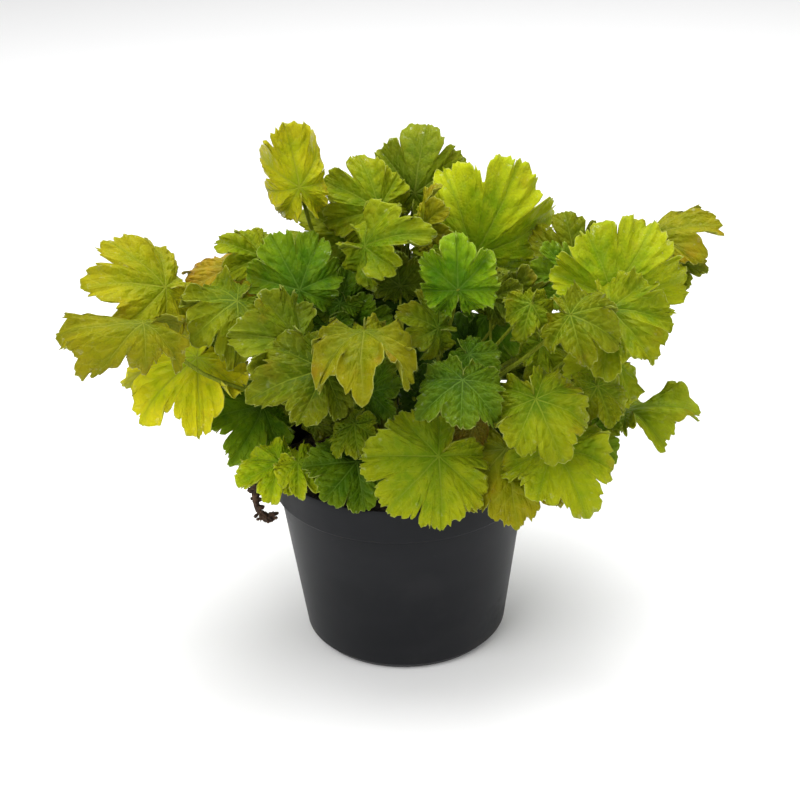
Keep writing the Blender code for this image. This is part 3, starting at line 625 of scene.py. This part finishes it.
def veinPattern(tree, place, across, out, length):
    sideways = calc(tree, "ABSOLUTE", across)
    warp = calc(tree, "SUBTRACT", noiseAt(tree, place, 70), 0.5)
    width = leafLook["veinWidth"] / length
    gap = calc(tree, "ABSOLUTE", calc(tree, "MULTIPLY_ADD", warp, 0.1, across))
    gap = calc(tree, "MULTIPLY", gap, blade["halfLobe"])
    taper = calc(tree, "MULTIPLY_ADD", out, -0.8 * width, 1.25 * width)
    mainVein = fade(tree, calc(tree, "DIVIDE", gap, taper), 0.4, 1.3, 1, 0)
    mainVein = calc(tree, "MULTIPLY", mainVein, fade(tree, out, 0.45, 1, 1, 0.35))
    branch = calc(tree, "MULTIPLY_ADD", sideways, -leafLook["secondLean"], out)
    branch = calc(tree, "MULTIPLY_ADD", warp, 0.1, branch)
    stagger = calc(tree, "MULTIPLY", calc(tree, "SIGN", across), 0.2)
    branch = calc(tree, "MULTIPLY_ADD", branch, 1 / leafLook["secondStep"], stagger)
    branch = calc(tree, "FRACT", branch)
    bulge = calc(tree, "COSINE", calc(tree, "MULTIPLY", branch, math.pi))
    bulge = calc(tree, "MULTIPLY", calc(tree, "POWER", bulge, 2), fade(tree, sideways, 0, 0.35))
    beside = calc(tree, "ABSOLUTE", calc(tree, "SUBTRACT", branch, 0.5))
    beside = calc(tree, "MULTIPLY", beside, leafLook["secondStep"] * 0.64)
    secondVein = fade(tree, beside, 0.3 * width, 1.1 * width, 1, 0)
    secondVein = calc(tree, "MULTIPLY", secondVein, fade(tree, out, 0.1, 0.25))
    netCell = cellsAt(tree, place, 1 / leafLook["netSize"])
    net = fade(tree, netCell, 0.02, 0.12, 1, 0)
    veins = calc(tree, "MAXIMUM", mainVein, calc(tree, "MULTIPLY", secondVein, 0.5))
    veins = calc(tree, "MAXIMUM", veins, calc(tree, "MULTIPLY", net, 0.09))
    besideMain = fade(tree, calc(tree, "DIVIDE", gap, width * 6), 0, 1, 0.35, 0)
    return veins, besideMain, bulge, netCell


def bladeColour(tree, leaf, place, out, veins, besideMain, pleats, isUnder):
    main, fresh, hubTone, edgeTone, veinTone, amber = leafHues[leaf.hue]
    # The lightness scales the leaf's colours: partly its own tone, partly painted light and shade
    light = leaf.light * random.Random("finish " + leaf.name).uniform(0.95, 1.05)
    main, fresh, hubTone, edgeTone = (tuple(value * light for value in tone)
                                      for tone in (main, fresh, hubTone, edgeTone))
    patches = fade(tree, noiseAt(tree, place, 1 / leafLook["patchSize"], 3), 0.38, 0.66)
    mottle = fade(tree, noiseAt(tree, place, 1 / leafLook["mottleSize"], 4), 0.35, 0.7)
    colour = mixed(tree, calc(tree, "MULTIPLY", patches, 0.8), main, fresh)
    colour = mixed(tree, calc(tree, "MULTIPLY", mottle, 0.35), colour, edgeTone)
    colour = mixed(tree, fade(tree, out, 0.05, 0.5, 0.75, 0), colour, hubTone)
    colour = mixed(tree, fade(tree, out, 0.62, 1.0, 0, 0.55), colour, edgeTone)
    colour = mixed(tree, besideMain, colour, hubTone)
    # Painted light: the colour is lighter where the pleat pattern is high, the crests on the upper
    # side
    colour = mixed(tree, fade(tree, pleats, 0.42, 0.72, 0, 0.5), colour, fresh)
    stains = fade(tree, noiseAt(tree, place, 55, 3), 0.56, 0.74)
    stains = calc(tree, "MULTIPLY", stains, fade(tree, out, 0.45, 0.95))
    stains = calc(tree, "MULTIPLY", stains, 0.25 + 0.7 * amber)
    colour = mixed(tree, stains, colour, leafLook["stain"])
    colour = mixed(tree, calc(tree, "MULTIPLY", veins, 0.45), colour, veinTone)
    # Painted highlight: pale spots along the very margin stand for the small glints there
    paleEdge = fade(tree, noiseAt(tree, place, 320), 0.4, 0.62, 0.08, 0.6)
    paleEdge = calc(tree, "MULTIPLY", fade(tree, out, 0.985, 0.995), paleEdge)
    colour = mixed(tree, paleEdge, colour, leafLook["paleEdge"])
    specks = fade(tree, cellsAt(tree, place, 105, "F1"), 0.03, 0.075, 0.8, 0)
    specks = calc(tree, "MULTIPLY", specks, fade(tree, noiseAt(tree, place, 40), 0.6, 0.68))
    colour = mixed(tree, specks, colour, leafLook["speck"])
    if isUnder:
        colour = mixed(tree, 0.3, colour, leafLook["underside"])
    # Painted shade: the colour darkens towards the middle of the clump, where the outer leaves
    # shade it
    fromMiddle = objectPlace(tree, (0, 0, -leafLook["shadeCentre"]))
    inward = addNode(tree, "VectorMath", {0: fromMiddle}, operation="LENGTH").outputs["Value"]
    inward = fade(tree, inward, *leafLook["shadeReach"], 0.6, 0)
    shaded = mixed(tree, 1.0, colour, leafLook["shadeTone"], "MULTIPLY")
    return mixed(tree, inward, colour, shaded)


def bladeFinish(leaf, length, isUnder):
    rough = leafLook["underRoughness" if isUnder else "roughness"]
    finish, tree, shader = newMaterial(
        f"{leaf.hue} {'underside' if isUnder else 'blade'} {leaf.name}",
        Roughness=rough,
        Subsurface_Weight=leafLook["subsurface"],
        Subsurface_Radius=(0.8, 1.0, 0.15),
        Subsurface_Scale=1.5 * mm,
    )
    place = objectPlace(tree, tuple(leaf.shift))
    uv = addNode(tree, "UVMap", uv_map="veins").outputs[0]
    across, out, _ = addNode(tree, "SeparateXYZ", {0: uv}).outputs
    veins, besideMain, bulge, netCell = veinPattern(tree, place, across, out, length)
    inputs = {"Vector": uv, "Location": tuple(leaf.shift * 30), "Scale": (15, 2.2, 1)}
    pleated = addNode(tree, "Mapping", inputs).outputs[0]
    pleats = calc(tree, "MULTIPLY", noiseAt(tree, pleated, 1, 2), fade(tree, out, 0.5, 1))
    colour = bladeColour(tree, leaf, place, out, veins, besideMain, pleats, isUnder)
    tree.links.new(colour, shader.inputs["Base Color"])
    shine = fade(tree, noiseAt(tree, place, 280, 2), 0.62, 0.7)
    shine = calc(tree, "MULTIPLY", shine, fade(tree, out, 0.6, 0.98))
    sheen = 0.0 if isUnder else leafLook["sheen"]
    shine = calc(tree, "MULTIPLY_ADD", shine, sheen, leafLook["gloss"])
    tree.links.new(shine, shader.inputs["Specular IOR Level"])
    satin = fade(tree, noiseAt(tree, place, 160, 3), 0.3, 0.7, -0.07, 0.1)
    satin = calc(tree, "MULTIPLY_ADD", shine, -0.3, satin)
    tree.links.new(calc(tree, "ADD", satin, rough), shader.inputs["Roughness"])
    side = -1 if isUnder else 1
    raised = calc(tree, "MULTIPLY", fade(tree, netCell, 0, 0.35), 0.5)
    raised = calc(tree, "ADD", raised, calc(tree, "MULTIPLY", noiseAt(tree, place, 260, 3), 0.5))
    raised = calc(tree, "MULTIPLY_ADD", veins, 1.0 if isUnder else -0.8, raised)
    raised = calc(tree, "MULTIPLY_ADD", pleats, side * leafLook["pleats"], raised)
    raised = calc(tree, "MULTIPLY_ADD", bulge, side * leafLook["quilting"], raised)
    bumped(tree, shader, raised, 0.35 * mm, 0.8)
    return finish


def stalkFinish():
    finish, tree, shader = newMaterial(
        "pale olive stalk",
        Roughness=0.55,
        Specular_IOR_Level=0.1,
        Subsurface_Weight=0.15,
        Subsurface_Radius=(0.8, 1.0, 0.2),
        Subsurface_Scale=mm,
    )
    streak = noiseAt(tree, objectPlace(tree, stretch=(1, 1, 0.12)), 900, 3)
    streak = fade(tree, streak, 0.35, 0.7)
    colour = mixed(tree, streak, (0.125, 0.160, 0.006), (0.215, 0.250, 0.016))
    height = addNode(tree, "SeparateXYZ", {0: objectPlace(tree)}).outputs[2]
    foot = fade(tree, height, 104 * mm, 135 * mm, 0.7, 0)
    colour = mixed(tree, foot, colour, (0.20, 0.13, 0.05))
    tree.links.new(colour, shader.inputs["Base Color"])
    bumped(tree, shader, streak, 0.15 * mm, 0.7)
    return finish


stalkMaterial = stalkFinish()


def makeLeaf(leaf, pose, length, path, node):
    bm = bladeMesh(leaf, length, pose)
    hubTop = pose @ leaf.point(length, 0, 0)
    under = (pose @ Vector((0, 0, -1)) - pose.translation).normalized()
    route = smoothPath(path[:-1] + [hubTop + under * 0.7 * mm], stalk["parts"])
    low, top = stalk["thickness"], min(mm, 0.5 * blade["hubShare"] * length)
    if node is None:
        low, top = stalk["thin"], 0.8 * mm
    radii = [low + (top - low) * step / (len(route) - 1) for step in range(len(route))]
    sweep(bm, route, radii, stalk["sides"], 2)
    bmesh.ops.recalc_face_normals(bm, faces=bm.faces[:])
    finishes = [bladeFinish(leaf, length, False), bladeFinish(leaf, length, True), stalkMaterial]
    name = {"crown": "young_", None: ""}.get(node, "leaf_fine_") + leaf.name
    return newPiece(name, bm, finishes, "leaf_" + leaf.hue, *([node] if node else []))


# Leaves that curled more as they grew: sides in degrees, narrowing, size
curledLeaves = {
    "left_most": (200, 0.25, 1),
    "top_left_lone": (130, 0.25, 1),
    "rim_left_outer": (50, 0.05, 0.84),
    "rim_left_inner": (45, 0, 0.82),
    "far_right_low": (60, 0.42, 0.93),
    "left_dark_lower": (35, 0, 0.84),
    "right_lower_behind": (30, 0, 0.86),
}


def makeLeaves():
    for name, form in leafForms.items():
        leaf = Leaf(name, *form)
        found = readLeaf(leaf)
        if name in curledLeaves:
            sides, leaf.narrow, leaf.size = curledLeaves[name]
            leaf.sides = math.radians(sides)
        makeLeaf(leaf, *found, "leaf_" + name)
    print("grown leaves:", len(leafForms))
    for name, (hub, tip, face, *form) in youngForms.items():
        leaf = Leaf(name, *form)
        pose, length = youngPose(hub, tip, face)
        makeLeaf(leaf, pose, length, readYoung(leaf, pose, length), "crown")
    for name, (hub, tip, face, *form) in innerForms.items():
        pose, length = youngPose(hub, tip, face)
        makeLeaf(Leaf(name, *form), pose, length, innerStalk(pose), None)
    print("young and inner leaves:", len(youngForms) + len(innerForms))


makeLeaves()


# The crown: a knobby rootstock with the stubs of old stalks

crown = {
    "radius": 25 * mm,
    "bottom": 95 * mm,
    "top": 106 * mm,
    "round": 2 * mm,
    "steps": 96,
    "stubs": 16,
    "stubHeight": 5 * mm,
}


def turned(profile, steps):  # a closed solid turned about Z from radius and height pairs
    bm = bmesh.new()
    verts = [bm.verts.new((radius, 0, height)) for radius, height in profile]
    edges = [bm.edges.new(pair) for pair in zip(verts, verts[1:])]
    bmesh.ops.spin(bm, geom=verts + edges, cent=(0, 0, 0), axis=(0, 0, 1), angle=2 * math.pi,
                   steps=steps, use_merge=True)
    bmesh.ops.remove_doubles(bm, verts=bm.verts[:], dist=0.005 * mm)
    bmesh.ops.recalc_face_normals(bm, faces=bm.faces[:])
    for face in bm.faces:
        face.smooth = True
    return bm


def rounded(bm, offset, segments):  # rounds the rings where the profile turns a corner
    bm.normal_update()
    sharp = math.radians(25)
    corners = [edge for edge in bm.edges if edge.is_manifold and edge.calc_face_angle() > sharp
               and abs(edge.verts[0].co.z - edge.verts[1].co.z) < 0.01 * mm]
    bmesh.ops.bevel(bm, geom=corners, offset=offset, offset_type="OFFSET", segments=segments,
                    profile=0.5, affect="EDGES", material=-1, clamp_overlap=True)
    for face in bm.faces:
        face.smooth = True


def spread(start, end, count):
    return [start + (end - start) * step / count for step in range(count + 1)]


def rootstockFinish():
    finish, tree, shader = newMaterial("brown rootstock", Roughness=0.9)
    place = objectPlace(tree)
    bark = noiseAt(tree, place, 220, 5, 0.65)
    scales = cellsAt(tree, place, 260)
    colour = mixed(tree, fade(tree, bark, 0.3, 0.7), (0.030, 0.016, 0.008), (0.16, 0.09, 0.035))
    colour = mixed(tree, fade(tree, scales, 0, 0.2, 0.6, 0), colour, (0.015, 0.009, 0.005))
    tree.links.new(colour, shader.inputs["Base Color"])
    bumped(tree, shader, calc(tree, "MULTIPLY_ADD", scales, 0.7, bark), 1.2 * mm)
    return finish


def makeRootstock():
    radius, low, high = crown["radius"], crown["bottom"], crown["top"]
    top = [(reach, high) for reach in spread(radius - crown["round"], 0, 16)]
    side = [(radius, height) for height in spread(low + crown["round"], high - crown["round"], 5)]
    bm = turned([(0, low), (radius - mm, low)] + side + top, crown["steps"])
    for vert in bm.verts:
        if vert.co.z > low + mm:
            knob = noise.noise(vert.co * 130) * 1.6 + noise.noise(vert.co * 330) * 0.8 - 0.8
            vert.co += vert.co.normalized() * knob * mm
    draw = random.Random("stubs")
    for _ in range(crown["stubs"]):
        turn, reach = draw.uniform(0, 6.28), draw.uniform(6, 23) * mm
        foot = Vector((math.cos(turn) * reach, math.sin(turn) * reach, high - 2 * mm))
        height = crown["stubHeight"] * draw.uniform(0.7, 1.5)
        lean = Vector((foot.x * 0.3, foot.y * 0.3, height))
        thick = draw.uniform(1.1, 1.9) * mm
        sweep(bm, [foot, foot + lean * 0.6, foot + lean], [thick * 1.3, thick, thick * 0.9], 9)
    return newPiece("rootstock", bm, [rootstockFinish()], "rootstock", "crown")


makeRootstock()
print("rootstock made")


# The peat: a lumpy top with crumbs and fibres, and a strand over the rim

peat = {
    "radius": 73 * mm,
    "top": 102 * mm,
    "bottom": 1.6 * mm,
    "steps": 120,
    "crumbs": 420,
    "fibres": 90,
    "seed": 11,
    "strand": (  # in mm, on the left
        (-67, -13, 103), (-71.5, -14, 116.8), (-77, -15.5, 116), (-82.5, -17, 109),
        (-85, -19, 100), (-84.5, -20, 91), (-82, -20, 84), (-78, -19, 81.5), (-75, -18, 83)),
}


def peatHeight(x, y):
    swell = 1.2 * math.sin(x * 95 + 0.6) * math.cos(y * 80 - 0.4)
    lumps = 0.8 * math.sin(x * 310 + y * 140) + 0.6 * math.sin(y * 350 - x * 120 + 1.3)
    fine = 1.1 * noise.noise(Vector((x, y, 0)) * 260) + 0.6 * noise.noise(Vector((x, y, 7)) * 620)
    return peat["top"] + (swell + lumps + fine) * mm


def peatFinish(name, dark, pale, grain):
    finish, tree, shader = newMaterial(name, Roughness=0.95)
    place = objectPlace(tree)
    lumps = noiseAt(tree, place, grain, 6, 0.7)
    colour = mixed(tree, fade(tree, lumps, 0.35, 0.7), dark, pale)
    flecks = fade(tree, cellsAt(tree, place, 420, "F1"), 0.05, 0.14, 0.5, 0)
    colour = mixed(tree, flecks, colour, (0.16, 0.09, 0.045))
    tree.links.new(colour, shader.inputs["Base Color"])
    bumped(tree, shader, lumps, 1.5 * mm)
    return finish


def addCrumb(bm, draw, centre, size, materialIndex=0):
    shape = (draw.uniform(0.7, 1.3), draw.uniform(0.7, 1.3), draw.uniform(0.5, 0.9), 1)
    turn = Matrix.Rotation(draw.uniform(0, 6.28), 4, "Z")
    tilt = turn @ Matrix.Rotation(draw.uniform(-0.6, 0.6), 4, "X")
    place = Matrix.Translation(centre) @ tilt @ Matrix.Diagonal(shape)
    for vert in bmesh.ops.create_icosphere(bm, subdivisions=1, radius=size, matrix=place)["verts"]:
        vert.co += noise.noise_vector(vert.co * 900) * size * 0.35
        for face in vert.link_faces:
            face.material_index = materialIndex


def addStrand(bm, draw):
    path = smoothPath([Vector(point) * mm for point in peat["strand"]], 3)
    sweep(bm, path, [draw.uniform(1.2, 2.0) * mm for _ in path], 7, 2)
    for centre in path[2:]:
        for _ in range(4):
            off = Vector(draw.uniform(-2.2, 2.2) * mm for _ in range(3))
            addCrumb(bm, draw, centre + off, draw.uniform(0.9, 2.3) * mm, 2)
        if draw.random() < 0.4:  # a root's end
            tip = Vector(draw.uniform(-1, 1) for _ in range(3)) * 4 * mm
            root = [centre, centre + tip * 0.6, centre + tip + Vector((0, 0, -mm))]
            sweep(bm, root, [0.25 * mm] * 3, 4, 1)


def addFibre(bm, draw):
    turn, reach = draw.uniform(0, 6.28), math.sqrt(draw.uniform(0.12, 0.9)) * peat["radius"]
    way = draw.uniform(0, 6.28)
    path = []
    for step in range(5):
        bend = way + step * draw.uniform(-0.2, 0.2)
        x = math.cos(turn) * reach + math.cos(bend) * step * 1.8 * mm
        y = math.sin(turn) * reach + math.sin(way) * step * 1.8 * mm
        path.append(Vector((x, y, peatHeight(x, y) + draw.uniform(0.1, 1.2) * mm)))
    sweep(bm, path, [0.22 * mm] * 5, 4, 1)


def makePeat():
    outer, bottom = peat["radius"], peat["bottom"]
    below = [(0, bottom), (54 * mm, bottom), (57.5 * mm, 5 * mm), (69.8 * mm, 96.6 * mm)]
    top = [(reach, peat["top"]) for reach in spread(outer, 0, 34)]
    bm = turned(below + [(outer, 96.9 * mm)] + top, peat["steps"])
    for vert in bm.verts:
        if vert.co.z > peat["top"] - 0.1 * mm:
            vert.co.z = peatHeight(vert.co.x, vert.co.y)
    noise.seed_set(peat["seed"])  # noise_vector, which shapes the crumbs, is seeded by the clock
    draw = random.Random(peat["seed"])
    for _ in range(peat["crumbs"]):
        turn, reach = draw.uniform(0, 6.28), math.sqrt(draw.uniform(0.1, 0.93)) * outer
        size = draw.uniform(0.7, 2.4) * mm
        x, y = math.cos(turn) * reach, math.sin(turn) * reach
        addCrumb(bm, draw, (x, y, peatHeight(x, y) + size * 0.3), size)
    for _ in range(peat["fibres"]):
        addFibre(bm, draw)
    addStrand(bm, draw)
    finishes = [
        peatFinish("dark peat", (0.010, 0.007, 0.005), (0.060, 0.036, 0.020), 190),
        peatFinish("peat fibre", (0.06, 0.035, 0.015), (0.22, 0.14, 0.07), 400),
        peatFinish("dry peat", (0.025, 0.013, 0.008), (0.115, 0.060, 0.033), 300),
    ]
    return newPiece("peat", bm, finishes, "peat", "soil")


makePeat()
print("peat made")


# The pot: moulded charcoal plastic

pot = {
    "height": 115 * mm,
    "rim": 75 * mm,
    "band": 20 * mm,
    "bodyTop": 72 * mm,
    "bodyBottom": 59 * mm,
    "foot": 4 * mm,
    "wall": 1.3 * mm,
    "baseUnder": 1.5 * mm,
    "baseTop": 2.7 * mm,
    "steps": 160,
    "drains": 8,
    "drainRadius": 4.5 * mm,
    "drainCircle": 38 * mm,
    "dark": (0.0062, 0.0068, 0.0084),
    "pale": (0.0092, 0.0098, 0.0115),
}


def potFinish():
    finish, tree, shader = newMaterial("charcoal plastic", Specular_IOR_Level=0.15)
    place = objectPlace(tree)
    height = addNode(tree, "SeparateXYZ", {0: place}).outputs[2]
    grain = noiseAt(tree, place, 2300, 2)
    swirl = noiseAt(tree, objectPlace(tree, stretch=(1, 1, 3)), 9, 3)
    haze = fade(tree, noiseAt(tree, place, 26, 5, 0.6), 0.5, 0.8)
    colour = mixed(tree, fade(tree, swirl, 0.35, 0.65), pot["dark"], pot["pale"])
    colour = mixed(tree, calc(tree, "MULTIPLY", haze, 0.07), colour, (0.10, 0.098, 0.095))
    scuffPlace = objectPlace(tree, (0.3, 0.1, 0), (1, 1, 9))
    scuffs = fade(tree, noiseAt(tree, scuffPlace, 75, 3), 0.7, 0.76)
    scuffs = calc(tree, "MULTIPLY", scuffs, fade(tree, noiseAt(tree, place, 21), 0.58, 0.66))
    colour = mixed(tree, calc(tree, "MULTIPLY", scuffs, 0.22), colour, (0.11, 0.11, 0.115))
    specks = fade(tree, cellsAt(tree, place, 230, "F1"), 0.05, 0.1, 0.7, 0)
    specks = calc(tree, "MULTIPLY", specks, fade(tree, noiseAt(tree, place, 30), 0.6, 0.68))
    nearRim = fade(tree, height, pot["height"] - 32 * mm, pot["height"] - 8 * mm, 0.2, 1)
    colour = mixed(tree, calc(tree, "MULTIPLY", specks, nearRim), colour, (0.13, 0.10, 0.07))
    soiled = calc(tree, "MULTIPLY", fade(tree, height, 12 * mm, 0, 0, 0.35), haze)
    colour = mixed(tree, soiled, colour, (0.09, 0.07, 0.05))
    tree.links.new(colour, shader.inputs["Base Color"])
    rough = calc(tree, "MULTIPLY_ADD", grain, 0.05, fade(tree, haze, 0, 1, 0.4, 0.56))
    tree.links.new(rough, shader.inputs["Roughness"])
    bumped(tree, shader, calc(tree, "MULTIPLY_ADD", swirl, 2.5, grain), 0.05 * mm, 0.5)
    return finish


def cutDrains(piece):  # the drain holes through the base
    bm = bmesh.new()
    radius = pot["drainRadius"]
    for number in range(pot["drains"]):
        turn = Matrix.Rotation(2 * math.pi * number / pot["drains"], 4, "Z")
        place = turn @ Matrix.Translation((pot["drainCircle"], 0, pot["baseUnder"]))
        bmesh.ops.create_cone(bm, cap_ends=True, segments=28, radius1=radius, radius2=radius,
                              depth=6 * mm, matrix=place)
    cutter = newObject("drain cutter", bm)
    cut = piece.modifiers.new("drains", "BOOLEAN")
    cut.operation = "DIFFERENCE"
    cut.solver = "EXACT"
    cut.object = cutter
    holed = piece.evaluated_get(bpy.context.evaluated_depsgraph_get())
    holed = bpy.data.meshes.new_from_object(holed)
    piece.modifiers.remove(cut)
    piece.data = holed
    bpy.data.objects.remove(cutter)


def makePot():
    rim, wall, base, height = pot["rim"], pot["wall"], pot["bodyBottom"], pot["height"]
    foot, low = pot["foot"], height - pot["band"]
    inner, ledge = rim - wall, low + wall
    taper = (pot["bodyTop"] - base) / low

    def bodyAt(level):
        return base + taper * level

    profile = [(0, pot["baseUnder"]), (base - 12 * mm, pot["baseUnder"]), (base - 9 * mm, 0)]
    profile += [(base - 3 * mm, 0), (bodyAt(foot), foot)]
    profile += [(bodyAt(level), level) for level in spread(10 * mm, low - 1.5 * mm, 9)]
    profile += [(bodyAt(low), low), (rim - 0.5 * mm, low), (rim, low + 0.8 * mm)]
    profile += [(rim - 0.1 * mm, level) for level in spread(low + 5 * mm, height - 5 * mm, 3)]
    profile += [(rim, height - 2.4 * mm), (rim - 0.3 * mm, height), (inner, height)]
    profile += [(inner, ledge), (bodyAt(low) - wall, ledge), (bodyAt(foot) - wall, foot)]
    profile += [(base - 11 * mm, pot["baseTop"]), (0, pot["baseTop"])]
    bm = turned(profile, pot["steps"])
    rounded(bm, 0.45 * mm, 3)
    piece = newPiece("moulded_pot", bm, [potFinish()], "pot_plastic", "pot")
    cutDrains(piece)


makePot()
print("pot made")


# Floor, light and camera

studio = {
    "floor": 6.0,
    "world": 0.55,
    "lamps": {  # place, target, size, power
        "key": ((-0.9, -1.0, 1.3), (0, 0, 0.15), 1.3, 17),
        "fill": ((1.3, -0.8, 0.7), (0, 0, 0.15), 1.0, 5),
        "top": ((0.1, 0.4, 1.5), (0, 0, 0.2), 1.5, 25),
    },
}


def areaLight(name, place, target, size, power):
    light = bpy.data.lights.new(name, "AREA")
    light.shape = "DISK"
    light.size = size
    light.energy = power
    lamp = bpy.data.objects.new(name, light)
    lamp.location = place
    lamp.rotation_euler = (Vector(target) - Vector(place)).to_track_quat("-Z", "Y").to_euler()
    bpy.context.scene.collection.objects.link(lamp)


def makeStudio():
    bm = bmesh.new()
    bmesh.ops.create_grid(bm, x_segments=1, y_segments=1, size=studio["floor"])
    bmesh.ops.translate(bm, verts=bm.verts[:], vec=(0, 0, -0.1 * mm))
    finish, _, _ = newMaterial("pale floor", Base_Color=(0.94, 0.94, 0.94, 1), Roughness=0.8)
    floor = newObject("floor", bm, [finish])
    world = bpy.data.worlds.new("studio")
    world.use_nodes = True
    world.node_tree.nodes["Background"].inputs["Color"].default_value = (1, 1, 1, 1)
    world.node_tree.nodes["Background"].inputs["Strength"].default_value = studio["world"]
    bpy.context.scene.world = world
    for name, lamp in studio["lamps"].items():
        areaLight(name, *lamp)


view = {  # as measured in the photo: angles in degrees, metres, and mm for the lens
    "height": 28.9,  # the camera's own, seen from the aim
    "tilt": 26.56,
    "roll": -1.72,
    "distance": 1.0,
    "aim": 0.1,
    "lens": 76.92,
}


def makeCamera():
    height, tilt = math.radians(view["height"]), math.radians(view["tilt"])
    back = Vector((0, -math.cos(tilt), math.sin(tilt)))
    right = Vector((1, 0, 0))
    roll = Matrix.Rotation(math.radians(view["roll"]), 3, "Z")
    turn = Matrix((right, back.cross(right), back)).transposed() @ roll
    lens = bpy.data.cameras.new("camera")
    lens.lens = view["lens"]
    lens.sensor_width = 36
    lens.clip_start = 0.01
    camera = bpy.data.objects.new("camera", lens)
    camera.matrix_world = turn.to_4x4()
    away = view["distance"]
    camera.location = (0, -away * math.cos(height), view["aim"] + away * math.sin(height))
    bpy.context.scene.collection.objects.link(camera)
    bpy.context.scene.camera = camera


makeStudio()
makeCamera()
bpy.context.scene.view_settings.view_transform = "Standard"
print("studio made")
